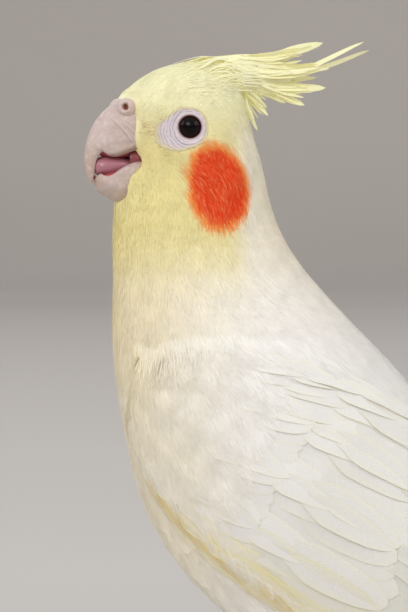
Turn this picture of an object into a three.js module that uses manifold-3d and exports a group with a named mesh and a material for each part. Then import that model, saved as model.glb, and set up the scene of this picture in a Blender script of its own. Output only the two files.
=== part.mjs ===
// Lutino cockatiel standing on the floor: a still, life-size display model, in millimetres.
// The bird faces -Y, its left side is +X and +Z is up. Its head is turned to its own left,
// the bill is open, the crest is half raised and the tail lies along the floor.
// Heights in the tables are counted from the centre of the eye, and lengths from the turning
// axis of the neck, so that the whole bird stands at the right height by one number.
import * as THREE from 'three';
import { mergeVertices } from 'three/addons/utils/BufferGeometryUtils.js';
import Module from 'manifold-3d';

const wasm = await Module();
wasm.setup();

// ---- Driving dimensions ----
const EYE_HEIGHT = 142; // centre of the eye above the floor
const HEAD_TURN = THREE.MathUtils.degToRad(30); // turn of the head, to the bird's left
const TWIST_TOP = -22; // the neck carries the whole turn above this height
const TWIST_END = -44; // and none of it below this one
const GAP = 0.3; // clearance between neighbouring pieces
const FAR = 600; // size of the blocks that cut pieces off, twice as far as the tip of the tail
const LEFT = 1;
const RIGHT = -1;

const EYE = { forward: 3.2, out: 8.7, up: 0, radius: 3.3 };
const CERE = { forward: 15.4, out: 2.5, up: 4.1 };
const TAIL_ROOT = { y: 84, z: -117.5 };
const TAIL_LENGTH = 150; // central pair of tail feathers, from inside the rump to the tip
const FOOT = { x: 12.5, y: 27, z: 2.6 }; // where the shank meets the toes, z above the floor

// ---- Colours ----
const paint = (color, roughness) => new THREE.MeshStandardMaterial({ color, roughness, metalness: 0 });
const faceYellow = paint(0xf0e89a, 0.9);
const creamWhite = paint(0xf1ead6, 0.9);
const wingWhite = paint(0xf2efe8, 0.85);
const hornPink = paint(0xe0c0b4, 0.45);
const cerePink = paint(0xdcbdb6, 0.6);
const tonguePink = paint(0x9a5a6a, 0.4);
const eyeBlack = paint(0x140b0a, 0.08);
const footPink = paint(0xd9b3a6, 0.6);
const clawHorn = paint(0xd8c8b8, 0.4);

// ---- Making closed shapes ----

// A sphere's net of rows and columns, with each point put where place(along, angle, point) says.
// The first and the last row each shrink to one point, so the shape is always closed.
function oval(around, along, place) {
  const shape = new THREE.SphereGeometry(1, around, along);
  const position = shape.attributes.position;
  const point = new THREE.Vector3();
  for (let row = 0; row <= along; row += 1) {
    for (let column = 0; column <= around; column += 1) {
      const angle = ((column % around) / around) * 2 * Math.PI;
      place(row / along, angle, point);
      position.setXYZ(row * (around + 1) + column, point.x, point.y, point.z);
    }
  }
  return shape;
}

// The volume that a geometry encloses, negative if its faces point in.
function signedVolume(position, index) {
  const [a, b, c] = [new THREE.Vector3(), new THREE.Vector3(), new THREE.Vector3()];
  let volume = 0;
  for (let i = 0; i < index.length; i += 3) {
    a.fromBufferAttribute(position, index[i]);
    b.fromBufferAttribute(position, index[i + 1]);
    c.fromBufferAttribute(position, index[i + 2]);
    volume += a.dot(b.cross(c)) / 6;
  }
  return volume;
}

function solidOf(geometry) {
  const bare = geometry.clone();
  bare.deleteAttribute('normal');
  bare.deleteAttribute('uv');
  const merged = mergeVertices(bare, 1e-4);
  const triVerts = new Uint32Array(merged.index.array);
  if (signedVolume(merged.attributes.position, triVerts) < 0) triVerts.reverse();
  const vertProperties = new Float32Array(merged.attributes.position.array);
  return new wasm.Manifold(new wasm.Mesh({ numProp: 3, vertProperties, triVerts }));
}

function geometryOf(solid) {
  const mesh = solid.getMesh();
  const geometry = new THREE.BufferGeometry();
  geometry.setAttribute('position', new THREE.BufferAttribute(mesh.vertProperties, 3));
  geometry.setIndex(new THREE.BufferAttribute(mesh.triVerts, 1));
  geometry.computeVertexNormals();
  return geometry;
}

const join = (solids) => solids.reduce((whole, part) => whole.add(part));
const cut = (solid, ...tools) => tools.reduce((rest, tool) => rest.subtract(tool), solid);

// A big block whose one face lies on a plane: it takes away everything on the normal's side.
function beyond(point, normal, setBack = 0) {
  const direction = new THREE.Vector3(...normal).normalize();
  const block = new THREE.BoxGeometry(FAR, FAR, FAR).translate(0, 0, FAR / 2 + setBack);
  block.applyQuaternion(new THREE.Quaternion().setFromUnitVectors(new THREE.Vector3(0, 0, 1), direction));
  return solidOf(block.translate(...point));
}

function node(name, solid, material) {
  const mesh = new THREE.Mesh(geometryOf(solid), material);
  mesh.name = name;
  return mesh;
}

// A rounded bar that follows a smooth path: width(t) and depth(t) are its half sizes across and
// along `up`, and both are zero at its two ends.
function bar({ path, width, depth, up = [0, 0, 1], around = 8, along = 8 }) {
  const curve = new THREE.CatmullRomCurve3(path.map((p) => new THREE.Vector3(...p)));
  const upward = new THREE.Vector3(...up);
  return oval(around, along, (t, angle, point) => {
    const tangent = curve.getTangent(t);
    const across = new THREE.Vector3().crossVectors(tangent, upward).normalize();
    const rise = new THREE.Vector3().crossVectors(across, tangent);
    curve.getPoint(t, point);
    if (t > 0 && t < 1) {
      point.addScaledVector(across, width(t) * Math.cos(angle));
      point.addScaledVector(rise, depth(t) * Math.sin(angle));
    }
  });
}

function ellipsoid(centre, radii, around = 10, along = 7) {
  return solidOf(new THREE.SphereGeometry(1, around, along).scale(...radii).translate(...centre));
}

// ---- Rings: the outline in profile, and the half width, at each station ----

// Each station is { near: [y, z], far: [y, z], half, egg }: the two ends of a ring in the
// middle plane of the body, its half width, and how much wider it is towards the far end.
class RingLoft {
  constructor(stations) {
    const smooth = (pick) => new THREE.CatmullRomCurve3(stations.map(pick));
    this.near = smooth((s) => new THREE.Vector3(0, ...s.near));
    this.far = smooth((s) => new THREE.Vector3(0, ...s.far));
    this.size = smooth((s, i) => new THREE.Vector3(s.half, s.egg ?? 0, i * 4));
  }

  // A point on ring t at the given angle. `grow` moves the surface out.
  place(t, angle, point, grow = 0) {
    const near = this.near.getPoint(t);
    const far = this.far.getPoint(t);
    const { x: half, y: egg } = this.size.getPoint(t);
    const across = far.clone().sub(near);
    const depth = across.length() / 2;
    point.addVectors(near, far).multiplyScalar(0.5);
    across.normalize();
    if (t === 0 || t === 1) {
      const outward = t === 0 ? 1 : -1;
      point.y -= across.z * grow * outward;
      point.z += across.y * grow * outward;
      return point;
    }
    const toFar = -Math.sin(angle);
    point.addScaledVector(across, (depth + grow) * toFar);
    point.x = -Math.cos(angle) * (half * (1 + egg * toFar) + grow);
    return point;
  }

  solid(around, along, { grow = 0, finish = (point) => point } = {}) {
    return solidOf(oval(around, along, (t, angle, point) => {
      finish(this.place(t, angle, point, grow));
    }));
  }
}

const ring = (near, far, half, egg = 0) => ({ near, far, half, egg });

// The plumage of the head, neck and trunk, from the crown down the face and breast (near) and
// down the nape and back (far), to the end of the rump.
const body = new RingLoft([
  ring([2.0, 14.6], [3.0, 14.6], 0.4), // crown
  ring([-4.6, 13.5], [9.0, 13.2], 5.8),
  ring([-9.8, 11.5], [12.2, 9.8], 9.0, 0.05),
  ring([-14.4, 8.4], [14.0, 5.4], 10.8, 0.1), // forehead
  ring([-15.9, 5.2], [14.9, 0.6], 11.9, 0.12), // eyes
  ring([-14.4, -0.8], [15.3, -4.2], 12.8, 0.12),
  ring([-13.4, -6.5], [15.9, -9.0], 13.6, 0.08), // cheeks
  ring([-14.6, -12.2], [16.9, -13.6], 14.0, 0.05),
  ring([-17.0, -17.8], [18.4, -18.4], 14.4), // chin
  ring([-17.2, -23.8], [20.8, -24.0], 15.2),
  ring([-16.8, -31.0], [24.6, -30.4], 16.8), // neck
  ring([-17.0, -39.2], [30.2, -37.0], 19.0),
  ring([-16.8, -48.2], [36.4, -43.4], 21.0, 0.02), // shoulders
  ring([-15.6, -57.8], [43.4, -50.6], 22.3, 0.04),
  ring([-13.8, -67.4], [50.4, -58.8], 23.0, 0.05), // breast
  ring([-11.6, -77.4], [57.4, -67.0], 23.4, 0.05),
  ring([-7.6, -87.2], [65.2, -75.4], 23.2, 0.05),
  ring([-1.2, -96.2], [73.4, -83.6], 22.4, 0.03), // belly
  ring([7.2, -104.5], [81.8, -91.0], 21.0),
  ring([17.6, -112.0], [90.2, -97.6], 19.0),
  ring([30.4, -118.0], [98.4, -103.2], 16.4), // vent
  ring([45.0, -122.2], [106.2, -108.0], 13.4),
  ring([61.0, -125.0], [114.0, -112.4], 10.8),
  ring([78.0, -127.0], [121.4, -116.6], 8.8), // rump
  ring([95.0, -128.4], [128.4, -120.4], 7.2),
  ring([112.0, -129.4], [134.8, -123.8], 5.6),
  ring([127.0, -129.6], [139.6, -126.2], 3.4), // end of the tail coverts
  ring([139.0, -128.0], [139.8, -127.8], 0.4),
]);

// The neck turns about an upright axis, from nothing at the shoulders to all of it at the chin.
function twist(point) {
  const share = THREE.MathUtils.smoothstep(point.z, TWIST_END, TWIST_TOP);
  return point.applyAxisAngle(new THREE.Vector3(0, 0, 1), HEAD_TURN * share);
}

const BODY_COLUMNS = 22;
const BODY_ROWS = 34;
const headForm = body.solid(BODY_COLUMNS, BODY_ROWS);
const turnedForm = body.solid(BODY_COLUMNS, BODY_ROWS, { finish: twist });
const turnedFormGrown = body.solid(BODY_COLUMNS, BODY_ROWS, { grow: GAP, finish: twist });

// ---- Head: everything here is set out facing -Y and turned as one group ----

// Where the head, neck, trunk and rump part. Each plane is a point and a normal that points
// down the body.
const CHIN_CUT = { point: [0, 0, -19.5], normal: [0, -0.06, -1] };
const SHOULDER_CUT = { point: [8, 9, -47.5], normal: [0, 0.1, -1] };
const RUMP_CUT = { point: [0, 88, -115], normal: [0, 1, -0.22] };
const TAIL_CUT = { point: [0, 104, -121], normal: [0, 1, -0.22] }; // where the tail shows first
const above = (solid, plane) => solid.subtract(beyond(plane.point, plane.normal, -GAP / 2));
const below = (solid, plane) => {
  const reverse = plane.normal.map((n) => -n);
  return solid.subtract(beyond(plane.point, reverse, -GAP / 2));
};

// Both halves of the bill run from inside the head (the first ring) to the tip, with the upper
// outline as near and the lower one as far. Forward is -Y.
const upperBill = new RingLoft([
  ring([-9.6, 1.6], [-9.6, 0.8], 0.4),
  ring([-11.0, 6.2], [-10.6, -4.4], 4.4, 0.2),
  ring([-14.0, 6.6], [-12.6, -5.0], 5.0, 0.3),
  ring([-17.0, 5.4], [-15.0, -5.7], 5.0, 0.35),
  ring([-19.5, 3.6], [-17.0, -6.5], 4.7, 0.38),
  ring([-21.6, 1.2], [-18.7, -6.7], 4.2, 0.38),
  ring([-23.0, -1.6], [-20.2, -6.0], 3.5, 0.35),
  ring([-23.8, -4.5], [-21.2, -6.2], 2.7, 0.3),
  ring([-24.0, -7.4], [-21.9, -7.7], 1.9, 0.2),
  ring([-23.6, -9.8], [-22.1, -10.0], 1.3),
  ring([-22.6, -12.3], [-22.4, -12.3], 0.2),
]);
const lowerBill = new RingLoft([
  ring([-9.6, -10.4], [-9.6, -11.2], 0.4),
  ring([-10.6, -7.6], [-10.4, -14.6], 4.2),
  ring([-13.6, -7.5], [-13.0, -15.6], 4.7),
  ring([-16.4, -8.5], [-16.2, -15.9], 4.6, -0.05),
  ring([-18.6, -9.9], [-18.4, -15.3], 4.2, -0.1),
  ring([-20.3, -10.3], [-19.8, -14.4], 3.5, -0.12),
  ring([-21.3, -10.2], [-20.9, -13.0], 2.5, -0.1),
  ring([-21.55, -11.2], [-21.5, -12.0], 0.9),
]);

function billSolids(grow) {
  const options = { grow };
  return [upperBill.solid(12, 11, options), lowerBill.solid(12, 7, options)];
}

// The trough inside each half of the bill, and the throat behind them.
const palate = ellipsoid([0, -13.5, -7.6], [3.6, 7.2, 3.6]);
const floorOfMouth = ellipsoid([0, -14.4, -7.6], [3.5, 6.3, 4.4]);
const throat = ellipsoid([0, -12.0, -7.0], [4.3, 4.6, 3.0]);

function tongueSolid(grow) {
  return solidOf(bar({
    path: [[0, -8.6, -7.6], [0, -12.0, -8.0], [0, -16.0, -8.6], [0, -19.6, -8.9]],
    width: (t) => 2.5 * Math.sin(Math.PI * t) ** 0.5 + grow,
    depth: (t) => 1.35 * Math.sin(Math.PI * t) ** 0.5 + grow,
    around: 8,
    along: 7,
  }));
}

// The fleshy saddle over the root of the bill, with a raised rim and a pit for each nostril.
function cereSolid(grow) {
  const { forward, out, up } = CERE;
  const pads = [LEFT, RIGHT].map((side) => (
    ellipsoid([side * out, -forward, up], [2.2 + grow, 2.1 + grow, 2.1 + grow], 8, 6)));
  const bridge = ellipsoid([0, -forward - 0.4, up + 0.5], [2.4 + grow, 1.9 + grow, 1.9 + grow], 8, 6);
  const pits = [LEFT, RIGHT].map((side) => (
    ellipsoid([side * (out + 1.8), -forward - 0.9, up + 0.2], [1.1, 0.8, 0.8], 8, 6)));
  const whole = join([...pads, bridge]);
  return grow > 0 ? whole : cut(whole, ...pits);
}

function eyeSolid(side, grow = 0) {
  const ball = new THREE.SphereGeometry(EYE.radius + grow, 12, 8);
  return solidOf(ball.translate(side * EYE.out, -EYE.forward, EYE.up));
}

// One crest feather: it leaves the crown, lies back and curves to its tip along `path`, whose
// points are [back, up] in the middle plane. `out` is how far its tip stands to the side.
function crestFeather({ path, out, width }) {
  return solidOf(bar({
    path: path.map((point, i) => [(out * (i + 1)) / path.length, ...point]),
    width: () => 0.55,
    depth: (t) => Math.max(0.3, width * Math.sin(Math.PI * Math.min(1, 0.25 + 0.72 * t)) ** 0.6),
    around: 4,
    along: 6,
  }));
}

const CREST_FEATHERS = [
  { path: [[-4.5, 13.0], [6.0, 14.6], [17.0, 15.6], [30.5, 18.6]], out: 1.0, width: 1.3 },
  { path: [[-3.0, 12.8], [9.0, 14.0], [22.0, 13.6], [41.0, 19.2]], out: 0.4, width: 0.9 },
  { path: [[-1.0, 12.8], [10.0, 13.6], [23.0, 12.4], [42.4, 17.4]], out: -0.9, width: 0.9 },
  { path: [[0.0, 12.6], [9.0, 13.2], [18.0, 11.8], [31.6, 13.4]], out: 1.9, width: 0.9 },
  { path: [[1.0, 12.6], [9.5, 12.8], [18.0, 10.2], [30.4, 10.9]], out: -1.9, width: 1.0 },
  { path: [[2.0, 12.6], [10.0, 12.4], [18.0, 8.8], [31.0, 8.8]], out: 1.4, width: 1.5 },
  { path: [[3.0, 12.6], [11.0, 12.0], [17.4, 8.2], [25.8, 5.0]], out: -1.2, width: 1.2 },
];

function crestSolid() {
  const mound = ellipsoid([0, 4.5, 12.3], [3.8, 12.5, 3.3]);
  return join([mound, ...CREST_FEATHERS.map(crestFeather)]);
}

function buildHead() {
  const [billUpperRoom, billLowerRoom] = billSolids(GAP);
  const eyeRoom = [LEFT, RIGHT].map((side) => eyeSolid(side, GAP));
  const skull = cut(
    above(headForm, CHIN_CUT),
    billUpperRoom,
    billLowerRoom,
    throat,
    tongueSolid(GAP),
    cereSolid(GAP),
    ...eyeRoom,
  );
  const headFormGrown = body.solid(BODY_COLUMNS, BODY_ROWS, { grow: GAP });
  const [upper, lower] = billSolids(0);
  const tongueRoom = tongueSolid(GAP);
  const head = new THREE.Group();
  head.add(
    node('head', skull, faceYellow),
    node('bill_upper', cut(upper, palate, cereSolid(GAP), throat), hornPink),
    node('bill_lower', cut(lower, floorOfMouth, tongueRoom, throat), hornPink),
    node('cere', cereSolid(0), cerePink),
    node('tongue', tongueSolid(0), tonguePink),
    node('eye_left', eyeSolid(LEFT), eyeBlack),
    node('eye_right', eyeSolid(RIGHT), eyeBlack),
    node('crest', cut(crestSolid(), headFormGrown), faceYellow),
  );
  head.rotation.z = HEAD_TURN;
  return head;
}

// ---- Neck and trunk ----

function turnedPlane({ point, normal }) {
  const turned = (list) => new THREE.Vector3(...list)
    .applyAxisAngle(new THREE.Vector3(0, 0, 1), HEAD_TURN).toArray();
  return { point: turned(point), normal: turned(normal) };
}

function buildTrunk() {
  const neck = above(below(turnedForm, turnedPlane(CHIN_CUT)), SHOULDER_CUT);
  const trunk = above(below(turnedForm, SHOULDER_CUT), RUMP_CUT);
  const rump = below(turnedForm, RUMP_CUT);
  return [
    node('neck', neck, creamWhite),
    node('trunk', trunk, creamWhite),
    node('rump', rump, creamWhite),
  ];
}

// ---- Wings ----

// The folded wing is a shell over the flank. Each station gives its lower and upper edge,
// [out, back, up], how far the middle bows out between them, and how thick it is.
const WING_STATIONS = [
  { low: [15.6, -11.4, -57.4], high: [15.8, -11.0, -56.6], bow: 0.3, thick: 0.6 }, // wrist
  { low: [12.2, -12.6, -63.6], high: [17.8, -5.0, -50.8], bow: 3.4, thick: 6 },
  { low: [11.6, -9.8, -71.4], high: [21.2, 5.0, -47.4], bow: 6.0, thick: 8 },
  { low: [13.0, -5.2, -79.8], high: [21.2, 16.0, -46.4], bow: 8.2, thick: 9 },
  { low: [15.6, 1.4, -87.4], high: [19.4, 28.0, -48.8], bow: 9.6, thick: 9 },
  { low: [17.2, 10.0, -94.4], high: [15.6, 40.0, -53.4], bow: 11.4, thick: 9 },
  { low: [17.6, 20.0, -101.2], high: [10.6, 52.0, -60.6], bow: 12.8, thick: 9 },
  { low: [17.6, 31.5, -107.6], high: [8.2, 63.4, -69.4], bow: 12.8, thick: 9 },
  { low: [17.0, 44.5, -112.8], high: [7.0, 74.4, -79.0], bow: 11.8, thick: 8 },
  { low: [15.8, 58.5, -116.2], high: [6.2, 85.2, -88.2], bow: 10.2, thick: 7 },
  { low: [14.0, 73.0, -118.4], high: [5.6, 96.0, -97.0], bow: 8.0, thick: 6 },
  { low: [11.8, 88.0, -120.0], high: [5.0, 106.5, -105.2], bow: 5.6, thick: 4.6 },
  { low: [9.4, 102.0, -121.0], high: [4.6, 116.0, -112.2], bow: 3.4, thick: 3.2 },
  { low: [6.4, 121.6, -119.2], high: [6.2, 122.0, -118.6], bow: 0.2, thick: 0.6 },
];
const WING_EDGE = 0.5; // half the thickness of the wing at its edges

function wingSolid(side, grow = 0) {
  const smooth = (pick) => new THREE.CatmullRomCurve3(WING_STATIONS.map(pick));
  const low = smooth((s) => new THREE.Vector3(...s.low));
  const high = smooth((s) => new THREE.Vector3(...s.high));
  const size = smooth((s, i) => new THREE.Vector3(s.bow, s.thick, i * 12));
  return solidOf(oval(12, 17, (t, angle, point) => {
    const start = low.getPoint(t);
    const end = high.getPoint(t);
    const { x: bow, y: thick } = size.getPoint(t);
    const chord = end.clone().sub(start).normalize();
    const inside = t > 0 && t < 1;
    point.copy(start).lerp(end, inside ? (1 - Math.cos(angle)) / 2 : 0.5);
    if (inside) {
      const facing = Math.sin(angle);
      const fullness = Math.abs(facing) ** 1.5;
      const edge = Math.sign(facing) * Math.min(1, 3 * Math.abs(facing)) * (WING_EDGE + grow);
      point.x += (facing > 0 ? bow : bow - thick) * fullness + edge;
      point.addScaledVector(chord, -Math.cos(angle) * grow);
    }
    point.x *= side;
  }));
}

// The flight feathers that show behind the closed wing: long blades, each shorter than the last
// and set a little lower and further out.
const PRIMARY_LENGTHS = [1, 0.91, 0.82];
const PRIMARY_CUT = { point: [0, 113.5, -118], normal: [0, 1, -0.2] };

function primariesSolid(side) {
  const blades = PRIMARY_LENGTHS.map((length, i) => {
    const tip = [6.6 + 0.9 * i, 62 + 81 * length, -123.6 + 0.6 * i];
    return solidOf(bar({
      path: [
        [9.2, 97, -115.2],
        [8.8, 108, -117.4],
        [8.2 + 0.7 * i, 62 + 60 * length, -120.0 - 0.2 * i],
        tip,
      ].map(([x, y, z]) => [x * side, y, z]),
      width: (t) => 0.8 * Math.sin(Math.PI * (0.1 + 0.86 * t)) ** 0.3,
      depth: (t) => 3.4 * Math.sin(Math.PI * (0.08 + 0.88 * t)) ** 0.7,
      around: 4,
    }));
  });
  return below(join(blades), PRIMARY_CUT);
}

// ---- Tail ----

// Six pairs of feathers in steps: the middle pair lies on top and is the longest. The tail
// slopes down from the rump and its tip lies on the floor.
const TAIL_STEPS = [1, 0.92, 0.8, 0.68, 0.58, 0.5];
const TAIL_TIP_RISE = 0.4; // centre line of the longest feathers above the floor at the tip
const TAIL_FLAT = 0.86; // beyond this share of its length the tail lies on the floor
const TAIL_LAP = 0.35; // each right feather lies this much under the left one of its pair

function tailHeight(share) {
  const tip = TAIL_TIP_RISE - EYE_HEIGHT;
  const fall = 1 - (1 - Math.min(1, share / TAIL_FLAT)) ** 1.35;
  return TAIL_ROOT.z + (tip - TAIL_ROOT.z) * fall;
}

function tailFeather(side, step, share) {
  const reach = TAIL_LENGTH * share;
  const path = [0, 0.35, 0.7, 1].map((t) => {
    const along = t * reach;
    const out = side * (1.0 + 0.85 * step + 0.035 * step * along * (1 - 0.5 * t));
    const drop = (0.62 * step + (side === RIGHT ? TAIL_LAP : 0)) * (1 - 0.35 * t);
    return [out, TAIL_ROOT.y + along, tailHeight(along / TAIL_LENGTH) - drop];
  });
  const half = step === 0 ? 4.4 : 4.8;
  return solidOf(bar({
    path,
    width: (t) => half * Math.min(1, 0.7 + t) * (1 - Math.max(0, (t - 0.45) / 0.56) ** 2.2),
    depth: (t) => 0.62 * (1 - 0.35 * t),
    around: 4,
    along: 6,
  }));
}

function buildTail(floor) {
  const feathers = TAIL_STEPS.flatMap((share, step) => (
    [LEFT, RIGHT].map((side) => tailFeather(side, step, share))));
  return node('tail', cut(below(join(feathers), TAIL_CUT), turnedFormGrown, floor), creamWhite);
}

// ---- Legs ----

const ground = (height) => height - EYE_HEIGHT; // a height above the floor, in the eye's terms

function thighSolid(side) {
  return solidOf(bar({
    path: [[13, 30, -103], [13, 33, -113], [12.8, 35.5, -121], [12.6, 35.6, -127.6]]
      .map(([x, y, z]) => [x * side, y, z]),
    up: [0, 1, 0],
    width: (t) => 7.4 * Math.sin(Math.PI * Math.min(1, 0.34 + 0.58 * t)) ** 0.8,
    depth: (t) => 8.6 * Math.sin(Math.PI * Math.min(1, 0.34 + 0.58 * t)) ** 0.8,
    around: 10,
    along: 6,
  }));
}

// Two toes point forward and two back. The turn is outward from straight ahead, in degrees.
const TOES = [
  { turn: -10, length: 13.5 }, // inner front
  { turn: 14, length: 17.5 }, // outer front
  { turn: 160, length: 16 }, // outer back
  { turn: 202, length: 10.5 }, // inner back
];
const TOE_RADIUS = 1.7;

function toeFrame(side, toe) {
  const turn = THREE.MathUtils.degToRad(toe.turn);
  const along = new THREE.Vector3(side * Math.sin(turn), -Math.cos(turn), 0);
  const start = new THREE.Vector3(side * FOOT.x, FOOT.y, 0);
  return (distance, height) => start.clone().addScaledVector(along, distance)
    .setZ(ground(height)).toArray();
}

function toeSolid(side, toe) {
  const at = toeFrame(side, toe);
  const pads = (t) => 1 + 0.1 * Math.cos(2 * Math.PI * 2.5 * t);
  const radius = (t) => TOE_RADIUS * (1.05 - 0.3 * t) * pads(t) * Math.min(1, 6 * (1.02 - t)) ** 0.5;
  return solidOf(bar({
    path: [at(-1.5, 2.1), at(toe.length * 0.3, 1.4), at(toe.length * 0.7, 1.1), at(toe.length, 0.9)],
    width: radius,
    depth: (t) => 0.92 * radius(t),
    around: 6,
    along: 7,
  }));
}

function clawSolid(side, toe) {
  const at = toeFrame(side, toe);
  const tip = toe.length + 5.0;
  return solidOf(bar({
    path: [
      at(toe.length - 0.4, 1.2),
      at(toe.length + 1.8, 2.0),
      at(toe.length + 3.8, 1.5),
      at(tip, 0.25),
    ],
    width: (t) => 0.75 * (1 - 0.8 * t),
    depth: (t) => 0.95 * (1 - 0.8 * t),
    around: 6,
    along: 5,
  }));
}

function shankSolid(side) {
  const { x, y, z } = FOOT;
  return solidOf(bar({
    path: [
      [x, y + 8.6, -120.5],
      [x, y + 8.0, -126.8],
      [x, y + 3.4, -133.0],
      [x, y, ground(z)],
      [x, y - 1.2, ground(z - 1.2)],
    ].map(([a, b, c]) => [a * side, b, c]),
    up: [0, 1, 0],
    width: (t) => 1.7 + 0.5 * Math.cos(2 * Math.PI * t),
    depth: (t) => 1.8 + 0.6 * Math.cos(2 * Math.PI * t),
  }));
}

function buildLeg(side, name, floor, wingRoom) {
  const thigh = thighSolid(side);
  const foot = join([shankSolid(side), ...TOES.map((toe) => toeSolid(side, toe))]);
  const claws = TOES.map((toe) => clawSolid(side, toe));
  const shownFoot = cut(foot, thigh, floor, ...claws);
  return [
    node(`thigh_${name}`, cut(thigh, turnedFormGrown, wingRoom), creamWhite),
    node(`foot_${name}`, shownFoot, footPink),
    ...claws.map((claw, i) => node(`claw_${name}_${i + 1}`, cut(claw, floor), clawHorn)),
  ];
}

// ---- The whole bird ----

const floor = beyond([0, 0, ground(0)], [0, 0, -1]);

const bird = new THREE.Group();
bird.add(buildHead(), ...buildTrunk(), buildTail(floor));
for (const [side, name] of [[LEFT, 'left'], [RIGHT, 'right']]) {
  const wing = cut(wingSolid(side), turnedFormGrown);
  const wingRoom = wingSolid(side, GAP);
  bird.add(
    node(`wing_${name}`, wing, wingWhite),
    node(`primaries_${name}`, cut(primariesSolid(side), wingRoom, turnedFormGrown), wingWhite),
    ...buildLeg(side, name, floor, wingSolid(side, 3 * GAP)),
  );
}

// The origin is the middle of the footprint box, on the floor.
const box = new THREE.Box3().setFromObject(bird, true);
const middle = box.getCenter(new THREE.Vector3());
bird.position.set(-middle.x, -middle.y, -box.min.z);

const part = new THREE.Group();
part.add(bird);

export default part;
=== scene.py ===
# %% [markdown]
# # A lutino cockatiel in full feather
# The frame holds the bird as plain solids. This lesson dresses them: one skin, a coat of fine
# strands and small feathers that follow the lie of the plumage, the long feathers of wings, tail
# and crest, and the bare parts of the face and feet. Feathers could be modelled one by one, but
# there are far too many of them, so each kind has one pattern that is laid on many paths, and
# every piece is worked out from the frame's own places.

# %% Load the frame
import math

import bpy
import numpy as np
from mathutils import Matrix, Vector
from mathutils.bvhtree import BVHTree


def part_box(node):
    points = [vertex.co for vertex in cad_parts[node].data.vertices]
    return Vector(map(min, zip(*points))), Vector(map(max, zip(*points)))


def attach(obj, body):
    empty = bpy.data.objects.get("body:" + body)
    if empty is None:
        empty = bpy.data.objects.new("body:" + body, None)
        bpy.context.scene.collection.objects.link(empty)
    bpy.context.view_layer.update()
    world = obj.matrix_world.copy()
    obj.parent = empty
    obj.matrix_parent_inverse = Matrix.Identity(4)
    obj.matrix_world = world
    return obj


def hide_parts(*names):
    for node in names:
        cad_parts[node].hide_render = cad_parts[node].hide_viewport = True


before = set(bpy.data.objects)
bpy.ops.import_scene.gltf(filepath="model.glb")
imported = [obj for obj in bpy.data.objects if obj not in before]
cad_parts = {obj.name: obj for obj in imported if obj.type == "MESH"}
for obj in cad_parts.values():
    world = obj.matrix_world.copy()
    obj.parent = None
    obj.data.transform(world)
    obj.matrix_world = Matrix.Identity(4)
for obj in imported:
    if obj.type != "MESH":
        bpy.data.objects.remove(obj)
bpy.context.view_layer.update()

MM = 0.001
BODY = "root"
SIDES = {"left": 1, "right": -1}
chance = np.random.default_rng(7)

# %% [markdown]
# ## Two rulers
# A bird's head turns, so its parts are easiest to place in the head's own directions: forward,
# left and up, in millimetres. The rest of the body has directions of its own: x to the bird's
# left, y towards the tail and z up. Both rulers start from the two eyes, which the frame gives.

# %% Rulers for the head and the body
EYE_AHEAD = 3.2  # the eyes lie this far in front of the axis that the neck turns on


def middle_of(node):
    low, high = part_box(node)
    return np.array((low + high) / 2)


def unit(vectors):
    vectors = np.asarray(vectors, float)
    return vectors / np.maximum(np.linalg.norm(vectors, axis=-1, keepdims=True), 1e-9)


EYES = {side: middle_of(f"eye_{side}") for side in SIDES}
UP = np.array([0.0, 0.0, 1.0])
LEFTWARD = unit(EYES["left"] - EYES["right"])
FORWARD = np.cross(LEFTWARD, UP)
HEAD = np.stack([FORWARD, LEFTWARD, UP])
START = (EYES["left"] + EYES["right"]) / 2 - FORWARD * EYE_AHEAD * MM
EYE_RADIUS = (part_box("eye_left")[1].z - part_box("eye_left")[0].z) / 2 / MM
EYE_OUT = np.linalg.norm(EYES["left"] - EYES["right"]) / 2 / MM


def head(forward, left, up):
    """A place given in the head's directions, as metres in the frame."""
    return START + (np.stack(np.broadcast_arrays(forward, left, up), -1) * MM) @ HEAD


def bird(x, y, z):
    """A place given in the body's directions, as metres in the frame."""
    return START + np.stack(np.broadcast_arrays(x, y, z), -1) * MM


def in_head(points):
    return (points - START) / MM @ HEAD.T


def in_body(points):
    return (points - START) / MM


def smooth(value, low, high):
    """Rises from 0 at low to 1 at high, with no corner at either."""
    t = np.clip((np.asarray(value, float) - low) / (high - low), 0, 1)
    return t * t * (3 - 2 * t)


def blend(a, b, share):
    """Rows of a, each drawn towards b by its own share."""
    return a + (b - a) * np.asarray(share)[..., None]


print("eyes", EYE_RADIUS, "mm in radius and", round(2 * EYE_OUT, 1), "mm apart")

# %% [markdown]
# ## Camera
# The bird is seen from its left and a little from behind, from about its own height. A short lens
# up close would swell the near side of the head, so a long lens stands well back and keeps near
# and far parts in their true proportions.

# %% Camera
VIEW_AZIMUTH, VIEW_RISE = 100, 2  # degrees
VIEW_DISTANCE = 0.8
FRAME_HEIGHT = 0.1302  # what the frame shows from top to bottom, at the bird
AIM_RIGHT, AIM_DOWN = 3.0, 38.1  # mm from the eye to the middle of the frame
SENSOR = 36.0


def toward(azimuth, rise):
    """A direction from the bird, in degrees: azimuth 0 is ahead of it and 90 to its left."""
    a, e = math.radians(azimuth), math.radians(rise)
    return np.array([math.sin(a) * math.cos(e), -math.cos(a) * math.cos(e), math.sin(e)])


def facing_from(holder, away):
    """Turns a camera or lamp so that it looks against the direction away."""
    holder.rotation_euler = Vector(away).to_track_quat("Z", "Y").to_euler()
    bpy.context.scene.collection.objects.link(holder)


back = toward(VIEW_AZIMUTH, VIEW_RISE)
rightward = toward(VIEW_AZIMUTH + 90, 0)
upward = np.cross(back, rightward)
aim = head(4.1, 11.2, 0) + (rightward * AIM_RIGHT - upward * AIM_DOWN) * MM

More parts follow.
